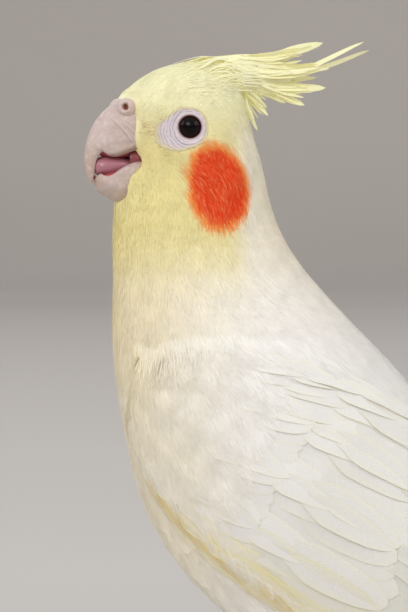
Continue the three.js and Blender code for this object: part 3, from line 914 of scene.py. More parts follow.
# %% Patterns: hair, barbs and vane
def hair_pattern():
    across = np.array([-1, 1, -0.8, 0.8, 0.0])
    run = np.array([0, 0, 0.5, 0.5, 1.0])
    return (across, run, np.zeros(5)), [np.array([[0, 1, 3, 2]]), np.array([[2, 3, 4]])]


def barb_pattern(barbs, slant=0.2, full=0.55, parted=0.5, first=0.04, last=0.9):
    """Barbs that leave the shaft on both sides; full is where along it the vane is widest."""
    start = np.linspace(first, last, barbs)
    swell = np.interp(start, [0, full, 1.0], [0.5, 1.0, 0.42])
    gap = start[1] - start[0]
    rows = []
    for hand in (-1, 1):
        for s, w in zip(start, swell):
            for q, half in ((0.0, 0.75), (0.55, 0.72), (1.0, 0.72 * (1 - parted))):
                for edge in (hand, -hand):
                    rows.append([hand * w * q**0.85, s + slant * q**1.4 + edge * half * gap, q])
    strips = np.array([[0, 1, 3, 2], [2, 3, 5, 4]])
    return tuple(np.array(rows).T), [repeated(strips, 2 * barbs, 6)]


def vane_pattern(rows, columns, tip=2.6, slant=0.1, root=0.45, frayed=0.006):
    """A closed vane with a rounded tip, slanting barbs and a slightly uneven edge."""
    s, u = np.meshgrid(np.linspace(0, 1, rows), np.linspace(-1, 1, columns), indexing="ij")
    width = (1 - s**tip) ** 0.5 * (root + (1 - root) * smooth(s, 0, 0.35))
    uneven = np.sin(s * 23 + u * 3) + np.sin(s * 41 + 2)
    run = s + slant * np.abs(u) ** 1.2 * (1 - s) + frayed * uneven * np.abs(u) ** 6 * (1 - s)
    return ((u * width).ravel(), run.ravel(), (u.ravel() ** 2) ** 2), [net(rows, columns)]


for pattern, faces in (hair_pattern(), barb_pattern(26), vane_pattern(12, 7)):
    print("a pattern of", len(pattern[0]), "points and", sum(map(len, faces)), "faces")

# %% [markdown]
# One finish serves all plumage. A real vane's barbs are too fine to model on every feather, so
# they are drawn as slanting lines along each feather's own map: painted shade between the barbs
# in the colour, and grooves in the bump. White feathers let light through to each other; a full
# calculation of that is slow, so a very faint painted glow stands in for it.

# %% Finishes of the plumage
# GAP_SHADE is painted shade: the colour of the shadow in the gaps between two barbs
GAP_SHADE = (0.55, 0.5, 0.42)  # what shows between two barbs
BLOOM = (1.0, 0.99, 0.95)


def plumage_finish(name, lines, line_gap, strength, bloom, glow):
    """Slanting lines line_gap mm apart over a soft uneven ground; lines and bloom say how much
    the lines and the pale grain show, and strength how deep the bump is. The lines are painted
    shade between the barbs, and glow is a faint painted glow for light let through the feathers."""
    finish = Finish(name)
    place = finish.add("ShaderNodeUVMap", {"uv_map": "vane"})
    parts = finish.add("ShaderNodeSeparateXYZ", None, {0: place})
    run = Shade(finish, parts.socket.node.outputs[1])
    wave = ((run - parts.size() * 0.6) * (2 * math.pi / line_gap)).sine()
    grain = finish.noise(1400, 3)
    between = finish.mix(finish.tint(), GAP_SHADE, 0.35)
    shade = finish.mix(finish.tint(), between, (0.5 - 0.5 * wave) * lines)
    shade = finish.mix(shade, BLOOM, bloom * grain)
    bump = finish.bump(wave * 0.5 + grain, strength, 0.08 * MM)
    print("finish", name, "with", len(finish.tree.nodes), "nodes")
    return finish.done(
        Base_Color=shade, Roughness=0.65, Normal=bump, Specular_IOR_Level=0.2, Emission_Color=shade,
        Emission_Strength=glow,
    )


fine_plumage = plumage_finish("fine_plumage", 0.0, 0.5, 0.15, 0.0, 0.1)
crest_plumage = plumage_finish("crest_plumage", 0.0, 0.5, 0.15, 0.0, 0.16)
body_feather = plumage_finish("body_feather", 0.15, 0.45, 0.2, 0.12, 0.12)
flight_feather = plumage_finish("flight_feather", 0.12, 0.42, 0.3, 0.12, 0.13)

# %% [markdown]
# ## Fine plumage
# On the face and head the feathers are so small that only their hair-like barbs show. Hair curves
# would be lost when the model leaves Blender, so each strand is a narrow blade of real mesh,
# rooted in the skin and lying back along the flow. None grow on bare skin, in the mouth or
# inside the bill.

# %% Where strands may grow
def tree_of(*nodes):
    points, faces = joined(nodes, 0)
    return BVHTree.FromPolygons(points.tolist(), faces.tolist())


def clearance(points, tree):
    """Millimetres from a closed shape, less than 0 inside it."""
    gaps = np.empty(len(points))
    for index, point in enumerate(points):
        place, normal, _, distance = tree.find_nearest(Vector(point))
        outside = (Vector(point) - place).dot(normal) > 0
        gaps[index] = distance / MM if outside else -distance / MM
    return gaps


def chosen(count, weights):
    """Random places on the skin, more of them on faces with a high weight."""
    a, b, c = [skin_points[form_faces[:, k]] for k in range(3)]
    share = np.linalg.norm(np.cross(b - a, c - a), axis=1) * weights
    pick = chance.choice(len(share), count, p=share / share.sum())
    r, s = chance.uniform(size=(2, count))
    r = np.sqrt(r)
    parts = np.stack([1 - r, r * (1 - s), r * s], -1)[:, :, None]
    corners = form_faces[pick]
    return (skin_points[corners] * parts).sum(1), unit((skin_normals[corners] * parts).sum(1))


MIDDLES = skin_points[form_faces].mean(1)
HEIGHTS = in_body(MIDDLES)[:, 2]
LEFT_SIDE = in_head(MIDDLES)[:, 1] > 0
on_face = HEIGHTS > -26
bill_gap = np.full(len(MIDDLES), 9.0)
bill_gap[on_face] = clearance(MIDDLES[on_face], tree_of("bill_upper", "bill_lower", "cere"))
clear = smooth(bare_share(MIDDLES), 0.87, 0.95) * smooth(mouth_share(MIDDLES), 1.0, 1.1)
clear = clear * (bill_gap > 0.1)
print("strands may grow on", round(100 * clear.mean(), 1), "% of the skin's faces")


# %% Face, head and neck
def hairs(name, count, weights):
    """Short strands, longer away from the face, on the skin's faces by their weights."""
    points, normals = chosen(count, weights)
    from_bill = np.linalg.norm(points - BILL_BASE, axis=1) / MM
    near = np.minimum(from_bill - 6, 3.5 * (bare_share(points) - 1))
    near = np.minimum(near, 3.0 * (mouth_share(points) - 1))
    _, _, z = in_body(points).T
    growth = smooth(near, 0, 8)
    lengths = (1.0 + 2.5 * growth + 3.4 * smooth(-z, 14, 60)) * chance.uniform(0.7, 1.25, count)
    widths = (0.2 + 0.1 * growth) * chance.uniform(0.75, 1.25, count)
    rise = coat_depth(points) * chance.uniform(0.5, 0.95, count) + 0.35 * smooth(-z, 26, 50)
    sway = 0.2 * ripple(points, 4) + chance.normal(0, 0.1, count)
    shade = markings(points) * chance.uniform(0.96, 1.04, (count, 1))
    pale = chance.uniform(0, 1, count) ** 3 * (1 - smooth(cheek_distance(points), 0.8, 1.1))
    shade = blend(shade, CHEEK_SHAFT, 0.45 * pale)
    paths, facing = lying(points, normals, lengths, rise, sway)
    pattern, faces = hair_pattern()
    feather_mesh(name, paths, facing, pattern, faces, widths, shade, shade, 0, fine_plumage, 0.4)


HEAD_HAIRS = 62000
head_weight = clear * smooth(HEIGHTS, -52, -28)
for side_name, half in (("left", LEFT_SIDE), ("right", ~LEFT_SIDE)):
    hairs(f"head_plumage_{side_name}", HEAD_HAIRS, head_weight * half)

# %% [markdown]
# Between the bill and the eye a parrot has a few rows of stiff brown bristles. They follow no
# flow, so each has an aim of its own, forward to the bill.

# %% Bristles between the bill and the eye
def bristles(name, roots, aims, length, width, colour):
    """Stiff hairs from roots on the skin, each leaning towards its own aim."""
    count = len(roots)
    places, normals = landed(roots)
    lean = unit(aims - normals * (aims * normals).sum(1, keepdims=True) * 0.8)
    tips = places + lean * (length * MM)[:, None] + normals * 0.35 * MM
    paths = bowed(places, (places + tips) / 2 + normals * 0.3 * MM, tips)
    facing = np.repeat(normals[:, None], PATH_STEPS, 1)
    shade = colour * chance.uniform(0.9, 1.05, (count, 1))
    pattern, faces = hair_pattern()
    feather_mesh(
        name, paths, facing, pattern, faces, np.full(count, width), shade, shade, 0, fine_plumage,
        0.4,
    )


BRISTLES = 180
BRISTLE_ROWS = [-1.6, -0.8, -0.1, 0.5, 1.1]  # heights on the head
spots = head(
    chance.uniform(8.2, 14.4, BRISTLES), np.repeat([7.5, -7.5], BRISTLES // 2),
    chance.choice(BRISTLE_ROWS, BRISTLES) + chance.normal(0, 0.2, BRISTLES),
)
aims = FORWARD + UP * chance.normal(0, 0.06, (BRISTLES, 1))
reaches = chance.uniform(0.7, 1.6, BRISTLES)
bristles("lore_bristles", spots, aims, reaches, 0.05, paint(196, 168, 124))

# %% [markdown]
# ## A map of the flank
# A closed wing lies on the flank like a roof on its rafters. Its feathers could be placed in
# space one by one, but rows are easier to plan on a map. The side of the bird is surveyed once,
# as heights over a leaning plane, and rows are then laid out along and across the wing.

# %% The flank as a map
class Flank:
    """One side of the bird seen square on, as a height over a plane that leans to face it.
    u runs along the closed wing from its bend to its tip and v across it, upwards, in mm."""

    LEAN, SLOPE = math.radians(25), math.radians(-27)

    def __init__(self, name, side):
        lean = math.cos(self.LEAN), math.sin(self.LEAN)
        self.out = np.array([side * lean[0], 0, lean[1]])
        rise = np.array([-side * lean[1], 0, lean[0]])
        back = np.array([0, 1.0, 0])
        c, s = math.cos(self.SLOPE), math.sin(self.SLOPE)
        self.u, self.v = back * c + rise * s, rise * c - back * s
        self.side = side
        wing = in_body(arrays_of(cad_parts[f"wing_{name}"])[0])
        self.ys = np.arange(wing[:, 1].min(), wing[:, 1].max(), 4.0)
        self.inner = np.array([np.abs(wing[np.abs(wing[:, 1] - y) < 5, 0]).min() for y in self.ys])
        self.edges = [self.edge(wing @ self.u, wing @ self.v, hand) for hand in (-1, 1)]
        self.start, self.end = (wing @ self.u).min(), (wing @ self.u).max()
        self.us = np.arange(self.start - 12, self.end + 12, 1.0)
        self.vs = np.arange((wing @ self.v).min() - 10, (wing @ self.v).max() + 10, 1.0)
        self.height = self.survey()

    @staticmethod
    def edge(u, v, hand):
        """The lowest line round places from below (hand 1) or the highest (-1): their hull."""
        chain = []
        for a, b in sorted(zip(u, v * hand)):
            while len(chain) > 1:
                (p, q), (r, s) = chain[-2:]
                if (r - p) * (b - q) - (s - q) * (a - p) < 0:
                    break
                chain.pop()
            chain.append((a, b))
        chain = np.array(chain)
        return chain[:, 0], chain[:, 1] * hand

    def survey(self):
        """The form's height over every place on the map, softened by three turns."""
        height = np.full((len(self.us), len(self.vs)), np.nan)
        for i, u in enumerate(self.us):
            for j, v in enumerate(self.vs):
                above = START + (self.u * u + self.v * v + self.out * 80) * MM
                hit = form.ray_cast(Vector(above), Vector(-self.out))[0]
                if hit is not None:
                    height[i, j] = in_body(np.array(hit)) @ self.out
        floor = np.nanmin(height)
        height = np.where(np.isnan(height), floor, height)
        for _ in range(3):
            ring = [np.roll(height, shift, axis) for axis in (0, 1) for shift in (-1, 1)]
            height = 0.5 * height + 0.125 * sum(ring)
        return height

    def read(self, grid, u, v):
        """A grid's value between its places."""
        i = np.clip(u - self.us[0], 0, len(self.us) - 1.001)
        j = np.clip(v - self.vs[0], 0, len(self.vs) - 1.001)
        a, b = i.astype(int), j.astype(int)
        p, q = i - a, j - b
        near = grid[a, b] * (1 - q) + grid[a, b + 1] * q
        return near * (1 - p) + (grid[a + 1, b] * (1 - q) + grid[a + 1, b + 1] * q) * p

    def place(self, u, v, lift):
        """Places in the frame, lift mm above the form."""
        h = self.read(self.height, u, v) + lift
        return START + (u[..., None] * self.u + v[..., None] * self.v + h[..., None] * self.out) * MM

    def facing(self, u, v):
        gap = 1.5
        slope_u = self.read(self.height, u + gap, v) - self.read(self.height, u - gap, v)
        slope_v = self.read(self.height, u, v + gap) - self.read(self.height, u, v - gap)
        lean = slope_u[..., None] * self.u + slope_v[..., None] * self.v
        return unit(self.out - lean / (2 * gap))

    def across(self, t, s):
        """The place t of the way along the wing and s of the way from its lower to its upper edge."""
        u = self.start + t * (self.end - self.start)
        low, high = [np.interp(u, *edge) for edge in self.edges]
        return u, low + (high - low) * s

    def wing_share(self, points):
        """Where points lie along and across the wing, as two shares from 0 to 1."""
        place = in_body(points)
        u, v = place @ self.u, place @ self.v
        low, high = [np.interp(u, *edge) for edge in self.edges]
        return (u - self.start) / (self.end - self.start), (v - low) / np.maximum(high - low, 1)


FLANKS = {name: Flank(name, side) for name, side in SIDES.items()}
print("wing", round(FLANKS["left"].end - FLANKS["left"].start), "mm long")

# %% [markdown]
# ## Body plumage
# On the breast, back and belly small rounded feathers overlap like tiles, and their loose barbs
# veil the edges. Feathers made of loose barbs alone look shredded, and closed ones alone look
# like scales. So there are both: closed vanes, rooted in the skin with their tips at the outside
# of the coat, and a veil of strands over them. A feather that would bridge a fold is left away.

# %% Where the wings lie
def wing_cover(points, margin, start=0.16):
    """1 where the closed wing lies over the body, and for some mm (margin) towards the middle.
    start is how far along the wing that begins."""
    cover = np.zeros(len(points))
    for flank in FLANKS.values():
        t, s = flank.wing_share(points)
        x, y, _ = in_body(points).T
        inside = smooth(t, start, start + 0.08) * (1 - smooth(t, 0.8, 0.88)) * smooth(s, 0.04, 0.14)
        past_bend = smooth(t, 0.2, 0.3)
        inside = inside * (1 - smooth(s, 0.98 + 0.1 * past_bend, 1.06 + 0.1 * past_bend))
        inset = x * flank.side - np.interp(y, flank.ys, flank.inner) + margin * past_bend
        inside = inside * smooth(inset, 0, 1.5)
        cover = np.maximum(cover, inside)
    return cover


SIDEWAYS, BACKWARD, _ = in_body(MIDDLES).T
BODY_LEFT = SIDEWAYS > 0
BODY_SIDE = np.abs(SIDEWAYS)
wing_gap = 1 - wing_cover(MIDDLES, 2.8)
rump_end = smooth(BACKWARD, 112, 118)
thigh = smooth(-HEIGHTS, 100, 108) * smooth(BODY_SIDE, 4, 7) * (1 - smooth(BACKWARD, 52, 60))
fold = smooth(HEIGHTS, -68, -62) * (1 - smooth(HEIGHTS, -46, -40)) * (BODY_SIDE > 9)
fold = fold * (1 - smooth(BACKWARD, 2, 8))  # where the bend of the wing meets the breast
feathered = (HEIGHTS > -129) * (1 - rump_end)  # not the shanks, nor the end of the rump
body_weight = (1 - thigh) * (fold < 0.5) * smooth(-HEIGHTS, 34, 50) * feathered
body_weight = body_weight * (wing_cover(MIDDLES, 6.0, 0.05) < 0.5)
veil_weight = smooth(-HEIGHTS, 28, 50) * feathered * (wing_gap > 0.3)
veil_weight = veil_weight * (0.4 + 0.6 * smooth(HEIGHTS, -110, -80) + 4 * thigh)
shoulder_weight = smooth(-HEIGHTS, 28, 44) * smooth(HEIGHTS, -88, -62) * (wing_gap > 0.3)
print("the wings cover", round(100 * (1 - wing_gap.mean())), "% of the skin's faces")


# %% Breast, back, belly and thighs
def contour_coat(name, tries, half):
    """Closed feathers, larger from the neck down, on one half of the body."""
    points, normals = chosen(tries, body_weight * half)
    spacing = (1.5 + 0.8 * smooth(-in_body(points)[:, 2], 34, 90)) * MM
    points, normals = thinned(points, normals, spacing)
    count = len(points)
    size = smooth(-in_body(points)[:, 2], 28, 80)
    lengths = (6.5 + 4.5 * size) * chance.uniform(0.85, 1.15, count)
    widths = (3.6 + 3.0 * size) * chance.uniform(0.85, 1.15, count)
    rise = coat_depth(points) * chance.uniform(0.8, 0.92, count)
    sway = chance.normal(0, 0.1, count) + 0.12 * ripple(points, 9)
    shade = markings(points) * chance.uniform(0.97, 1.03, (count, 1))
    paths, facing = lying(points, normals, lengths, rise, sway)
    proud = np.linalg.norm(paths[:, 3] - landed(paths[:, 3])[0], axis=1) / MM
    # a feather that bridges a fold would stand out, so it is left away
    kept = (proud < 1.2) & ((facing[:, 0] * facing[:, -1]).sum(1) > 0.8)
    paths, facing, widths, shade = paths[kept], facing[kept], widths[kept], shade[kept]
    print(name, "has", kept.sum(), "feathers,", (~kept).sum(), "left away")
    pattern, faces = vane_pattern(12, 7, tip=2.2, slant=0.1, root=0.5, frayed=0.012)
    rim = np.minimum(shade * 1.03, 0.95)
    feather_mesh(
        name, paths, facing, pattern, faces, widths, shade, rim, 0.1, body_feather, 0.4,
    )


CONTOUR_TRIES = 14000
BODY_HAIRS = 60000
for side_name, half in (("left", BODY_LEFT), ("right", ~BODY_LEFT)):
    contour_coat(f"body_plumage_{side_name}", CONTOUR_TRIES, half)
    hairs(f"body_veil_{side_name}", BODY_HAIRS, veil_weight * half)
    hairs(f"shoulder_veil_{side_name}", BODY_HAIRS * 2 // 3, shoulder_weight * half)

# %% [markdown]
# ## The closed wings
# A closed wing is laid in rows like a slate roof. Small soft coverts start at the bend, each row
# is longer than the last, and the greater coverts lie over the secondaries, whose stacked edges
# run back above the long primaries. A bird's rows are always in the same order, so a table of
# rows says all that differs between them, and one function lays any row on the map of the flank.
# Each feather tucks its upper edge under its neighbour.

# %% Rows of wing feathers
# start and length: where the roots lie and how long the feathers are, as shares of the wing, at
# the lower and the upper edge. band: the part of the wing's width the row takes up. wide and sink
# are in mm.
def row_of(name, start, length, band, count, wide, sink=0.0):
    return {
        "name": name, "start": start, "length": length, "band": band, "count": count, "wide": wide,
        "sink": sink,
    }


WING_ROWS = [
    row_of("primaries", (0.42, 0.5), (0.56, 0.44), (0.02, 0.86), 11, 8.0),
    row_of("secondaries", (0.42, 0.4), (0.4, 0.44), (0.2, 0.84), 12, 10.0),
    row_of("tertials", (0.38, 0.36), (0.36, 0.34), (0.7, 0.94), 5, 11.0),
    row_of("primary_coverts", (0.2, 0.26), (0.22, 0.2), (0.02, 0.16), 5, 6.0),
    row_of("greater_coverts", (0.3, 0.3), (0.2, 0.17), (0.08, 0.9), 15, 9.5),
    row_of("median_coverts", (0.24, 0.25), (0.15, 0.13), (0.04, 0.94), 16, 8.5, 0.12),
]
for number in range(2):  # small soft coverts, in rows in front of the others
    start, length = 0.18 - 0.05 * number, 0.11 - 0.005 * number
    WING_ROWS.append(row_of(
        f"lesser_coverts_{number + 1}", (start, start + 0.01), (length, length), (0.03, 0.96),
        19 - number, 8.5 - 0.4 * number, 0.25,
    ))
for number in range(8):  # scapulars lie over the upper edge, from the back of the wing to the front
    start = 0.7 - 0.075 * number
    WING_ROWS.append(row_of(
        f"scapulars_{8 - number}", (start, start + 0.02), (0.15, 0.14), (0.8, 0.98), 3, 9.0, 0.05,
    ))
WING_WHITE = paint(226, 224, 220)
# the long feathers are painted darker, as painted shade for the lower rear of the wing in shadow
FLIGHT_WHITE = paint(209, 207, 198)  # partly a duller tone of their own, partly painted shade
WING_YELLOW = paint(236, 226, 170)
print(len(WING_ROWS), "rows,", sum(row["count"] for row in WING_ROWS), "feathers on each wing")


# %% The wings
def wing_row(name, flank, row, depth):
    """Lays a row of feathers whose roots lie depth mm (less than 0) under the form."""
    share = np.linspace(0, 1, row["count"])
    t0 = np.interp(share, [0, 1], row["start"]) + chance.normal(0, 0.004, row["count"])
    length = np.interp(share, [0, 1], row["length"]) * chance.uniform(0.96, 1.04, row["count"])
    band = row["band"][0] + (row["band"][1] - row["band"][0]) * share
    steps = np.linspace(0, 1, 12)
    t = t0[:, None] + length[:, None] * steps
    u, v = flank.across(t, band[:, None])
    roots_v = v[:, :1]
    v = roots_v + (v - roots_v) * 0.9 - 0.6 * steps
    shown = 0.22 if row["length"][0] > 0.18 else 0.55
    rooted = (depth + 0.3) * (1 - smooth(steps, 0, shown))
    lift = -0.1 - row["sink"] - 0.12 * (1 - steps) + rooted
    paths = flank.place(u, v, np.broadcast_to(lift, u.shape))
    tuck = 0.014 * flank.v  # the lower edge stands proud and the upper one is tucked in
    facing = unit(flank.facing(u, v) + tuck)
    count = row["count"]
    widths = row["wide"] * chance.uniform(0.95, 1.05, count)
    # the longer the row, the more of FLIGHT_WHITE's painted shade it takes
    ground = WING_WHITE + (FLIGHT_WHITE - WING_WHITE) * smooth(row["length"][0], 0.12, 0.3)
    shade = np.broadcast_to(ground, (count, 3)) * chance.uniform(0.97, 1.02, (count, 1))
    low = 1 - smooth(band, 0.02, 0.2)
    shade = blend(shade, WING_YELLOW, 0.5 * low)
    rim = blend(shade, WING_YELLOW, 0.25 + 0.6 * low)
    stiff = row["length"][0] > 0.16
    rows, tip, finish = (26, 3.2, flight_feather) if stiff else (18, 2.6, body_feather)
    pattern, faces = vane_pattern(rows, 9, tip=tip, root=0.55)
    piece = feather_mesh(
        f"{row['name']}_{name}", paths, facing, pattern, faces, widths, shade, rim, 0.035, finish,
        0.2,
    )
    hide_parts(f"wing_{name}")


for side_name, flank in FLANKS.items():
    for number, row in enumerate(WING_ROWS):
        wing_row(side_name, flank, row, -1.3 if number < 5 else -1.1)

# %% [markdown]
# Past the wing the tips of the longest primaries show, one behind the other, over the root of
# the tail. They leave the map there, so their paths are drawn in space.

# %% Tips of the primaries
PRIMARY_TIPS = [1.0, 0.91, 0.82]
for side_name, side in SIDES.items():
    paths = []
    for i, length in enumerate(PRIMARY_TIPS):
        line = [
            bird(9.6 * side, 84, -111.5),
            bird(9.2 * side, 97, -115.0),
            bird((8.2 + 0.7 * i) * side, 62 + 60 * length, -119.6 - 0.2 * i),
            bird((6.6 + 0.9 * i) * side, 62 + 81 * length, -123.2 + 0.6 * i),
        ]
        paths.append(curve(line, 12))
    paths = np.array(paths)
    facing = np.broadcast_to(unit([side, 0.0, 0.55]), paths.shape)
    # FLIGHT_WHITE brings its painted shade to the tips too
    shade = np.broadcast_to(FLIGHT_WHITE, (len(paths), 3)) * 1.02
    rim = blend(shade, WING_YELLOW, 0.5)
    pattern, faces = vane_pattern(40, 9, tip=4, root=0.8)
    widths = np.full(len(paths), 7.0)
    piece = feather_mesh(
        f"primary_tips_{side_name}", paths, facing, pattern, faces, widths, shade, rim, 0.1,
        flight_feather,
    )
    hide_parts(f"primaries_{side_name}")

# %% [markdown]
# ## The tail
# Twelve long feathers, in six pairs, are stepped so that the middle pair is the longest and lies
# on top. The tail slopes down from the rump, and its last part rests on the floor. One sheet with
# a painted pattern would be quicker, but the stepped edges are what makes it a parrot's tail.

# %% Tail feathers
TAIL_STEPS = [1.0, 0.92, 0.8, 0.68, 0.58, 0.5]
TAIL_START = {"y": 84.0, "z": -117.5}
TAIL_LENGTH, TAIL_FLAT = 150.0, 0.86
FLOOR = -START[2] / MM


def tail_height(share):
    """The height of the tail's middle line at a share of its length."""
    fall = 1 - (1 - np.minimum(1, share / TAIL_FLAT)) ** 1.35
    return TAIL_START["z"] + (FLOOR + 0.4 - TAIL_START["z"]) * fall


tail_paths, tail_widths = [], []
for step in range(len(TAIL_STEPS) - 1, -1, -1):
    for side in (-1, 1):
        t = np.linspace(0, 1, 24)
        run = t * TAIL_LENGTH * TAIL_STEPS[step]
        out = side * (1.0 + 0.85 * step + 0.035 * step * run * (1 - 0.5 * t))
        drop = (0.3 * step + (0.15 if side < 0 else 0)) * (1 - 0.35 * t)
        height = tail_height(run / TAIL_LENGTH) - drop + 0.55 * (1 - 0.35 * t)
        height = np.maximum(height, FLOOR + 0.25 + 0.08 * (5 - step))
        place = np.stack([out, TAIL_START["y"] + run, height], -1)
        tail_paths.append(bird(*place.T))
        tail_widths.append(8.8 if step == 0 else 9.4)
tail_paths = np.array(tail_paths)
count = len(tail_paths)
shade = np.broadcast_to(WING_WHITE, (count, 3)) * chance.uniform(0.97, 1.0, (count, 1))
rim = blend(shade, WING_YELLOW, 0.7)
pattern, faces = vane_pattern(64, 11, tip=4, root=0.7, slant=0.05)
facing = np.broadcast_to(UP, tail_paths.shape)
tail = feather_mesh(
    "tail_feathers", tail_paths, facing, pattern, faces, np.array(tail_widths), shade, rim, 0.04,
    flight_feather,
)
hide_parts("tail")

# %% [markdown]
# The root of the tail is hidden, above and below, by coverts that lie on it like short tail
# feathers. They follow the rump first and then settle on the tail, so the height of each place on
# their paths is whichever of the two stands further out, smoothed along the path.

# %% Coverts of the tail
def tail_coverts(name, hand, starts, ends, count):
    """hand 1: above the tail; -1: below it. Rows of feathers between two rows of (out, y)."""
    paths = []
    over = -60.0 if hand > 0 else FLOOR
    t = np.linspace(0, 1, 14)
    for share in np.linspace(0, 1, count):
        start = np.array(starts[0]) * (1 - share) + np.array(starts[1]) * share
        end = np.array(ends[0]) * (1 - share) + np.array(ends[1]) * share
        for side in (-1, 1):
            out = side * (start[0] + (end[0] - start[0]) * t)
            y = start[1] + (end[1] - start[1]) * t
            level = []
            for a, b in zip(out, y):
                hit = form.ray_cast(Vector(bird(a, b, over)), Vector((0, 0, -hand)))[0]
                rump = in_body(np.array(hit))[2] if hit is not None else -200.0 * hand
                feather = tail_height((b - TAIL_START["y"]) / TAIL_LENGTH)
                feather = feather + (0.9 if hand > 0 else -3.3)
                level.append(max(rump, feather) if hand > 0 else min(rump, feather))
            level = np.convolve(np.pad(level, 2, "edge"), np.ones(5) / 5, "valid")
            level = level + hand * (0.15 * (1 - share) - 0.5 * (1 - t) ** 2)
            paths.append(bird(out, y, level))
    paths = np.array(paths)
    tilt = np.outer(np.linspace(1, 0, count), (-1, 1)).ravel()  # the outer ones hang over the side
    facing = unit(UP * hand + tilt[:, None] * np.array([1.0, 0, 0]))
    facing = np.repeat(facing[:, None], paths.shape[1], 1)
    shade = WING_WHITE * chance.uniform(0.97, 1.0, (len(paths), 1))
    rim = blend(shade, WING_YELLOW, 0.4)
    pattern, faces = vane_pattern(22, 9, tip=2.6, root=0.7)
    widths = np.full(len(paths), 8.0)
    feather_mesh(
        name, paths, facing, pattern, faces, widths, shade, rim, 0.12, flight_feather,
    )


tail_coverts("upper_tail_coverts", 1, [(7.0, 100), (1.2, 108)], [(7.5, 126), (1.5, 145)], 5)
tail_coverts("upper_rump_coverts", 1, [(6.0, 92), (1.0, 98)], [(6.5, 112), (1.4, 126)], 4)
tail_coverts("lower_tail_coverts", -1, [(7.0, 86), (1.2, 92)], [(7.5, 120), (1.5, 138)], 5)

# %% [markdown]
# ## The crest
# The crown feathers grow longer from the forehead back and end in the crest: a few long pointed
# plumes that curve up at their tips, and many smaller ones that gather round them in locks. Evenly
# spread plumes would look like a brush, so nine main ones are drawn one by one, and the others take
# their paths from between the main ones, with roots scattered over the crown.

# %% Crest plumes
# Each path is a row of (back, up) places in the middle plane of the head; out is how far the tip
# stands to the left. full is the share of the path that the smaller plumes reach, 0.96 if unsaid.
CREST = [
    {"path": [(-4.5, 13.0), (6.0, 15.0), (17.0, 15.6), (30.5, 18.6)], "out": 1.0, "wide": 3.2},
    {"path": [(-3.0, 12.8), (9.0, 14.2), (26.0, 13.5), (40.4, 19.0)], "out": 0.4, "wide": 1.3,
     "full": 0.74},
    {"path": [(-1.0, 12.8), (10.0, 13.8), (28.0, 12.9), (42.2, 17.2)], "out": -0.9, "wide": 1.6,
     "full": 0.74},
    {"path": [(0.0, 12.6), (9.0, 13.6), (18.0, 12.0), (31.6, 13.0)], "out": 1.9, "wide": 1.9},
    {"path": [(1.0, 12.6), (9.5, 13.0), (18.0, 10.4), (30.4, 11.1)], "out": -1.9, "wide": 1.9},
    {"path": [(2.0, 12.6), (10.0, 12.6), (18.0, 9.0), (31.0, 8.8)], "out": 1.4, "wide": 3.2},
    {"path": [(3.0, 12.6), (11.0, 12.2), (17.4, 8.4), (26.2, 5.0)], "out": 1.0, "wide": 2.8},
    {"path": [(2.0, 12.2), (8.6, 10.6), (13.4, 7.0), (17.6, 2.6)], "out": 1.2, "wide": 1.6},
    {"path": [(1.0, 11.8), (7.4, 9.8), (11.8, 5.4), (15.2, -0.6)], "out": 1.0, "wide": 1.4},
]
CREST_YELLOW = paint(240, 236, 190)
CREST_TIP = paint(206, 200, 148)
PLUME_STEPS = 16
FINE_STEPS = 80  # a path is drawn this finely before a plume's part of it is read off


def crest_path(place, reach, out, lift, root=0.0, begin=0.0, nestle=0.3):
    """A plume between two of the crest's main ones; place runs from 0 to the last of them. Its
    first part lies on the crown, root to the left of the middle, and its tip is free."""
    i = min(int(place), len(CREST) - 2)
    share = place - i
    plan = (1 - share) * np.array(CREST[i]["path"]) + share * np.array(CREST[i + 1]["path"])
    line = curve(plan, FINE_STEPS)
    line = line[np.linspace(FINE_STEPS * begin, (FINE_STEPS - 1) * reach, PLUME_STEPS).astype(int)]
    t = np.linspace(0, 1, PLUME_STEPS)
    side = root * (1 - t) ** 1.3 + out * t**0.8
    height = line[:, 1] + lift * t - 0.4 * abs(root) * (1 - t) ** 2
    free = head(-line[:, 0], side, height)
    bed, away = landed(free, form)
    proud = (nestle - 0.9 * (1 - smooth(t, 0, 0.3)))[:, None]
    return blend(bed + away * proud * MM, free, smooth(t, 0.45, 0.85)), away


def crest_piece(name, plans, pattern, faces, ragged=0.0):
    """plans: rows of (place, reach, out, lift, root, begin, width)."""
    plans = np.array(plans)
    paths, beds = [], []
    for plan in plans:
        path, away = crest_path(*plan[:6], chance.uniform(0.5, 1.0))
        paths.append(path)
        beds.append(away)
    paths, beds = np.array(paths), np.array(beds)
    lean = np.where(plans[:, 4] + 0.5 * plans[:, 2] > 0, 1.0, -1.0)[:, None] * LEFTWARD
    upper = np.repeat(unit(lean + 0.7 * UP)[:, None], PLUME_STEPS, 1)
    facing = unit(blend(beds, upper, smooth(np.linspace(0, 1, PLUME_STEPS), 0.3, 0.8)[None]))
    shade = CREST_YELLOW * chance.uniform(0.9, 1.04, (len(plans), 1))
    rim = blend(shade, CREST_TIP, 0.35)
    return feather_mesh(
        name, paths, facing, pattern, faces, plans[:, 6], shade, rim, 0.15, crest_plumage,
        None, ragged,
    )


def lock_plumes(count, widths, lift):
    """Smaller plumes that gather round the main ones in locks, and end at different lengths."""
    plans = []
    for i in range(count):
        hand = 1 if i % 2 else -1
        lock = int(chance.integers(0, len(CREST)))
        place = np.clip(lock + chance.normal(0, 0.22), 0, len(CREST) - 1)
        reach = CREST[lock].get("full", 0.96) * (1 - np.clip(abs(chance.normal(0, 0.2)), 0, 0.5))
        out = CREST[lock]["out"] + chance.normal(0, 0.7)
        root = hand * (0.5 + 0.5 * place + abs(chance.normal(0, 2.2)))
        wide = chance.uniform(*widths) * (1 - 0.4 * smooth(place, 5.8, 7))
        begin = chance.uniform(0, 0.34) * (1 - 0.5 * smooth(place, 5.8, 7))
        plans.append((place, reach, out, chance.normal(lift, 0.3), root, begin, wide))
    return plans


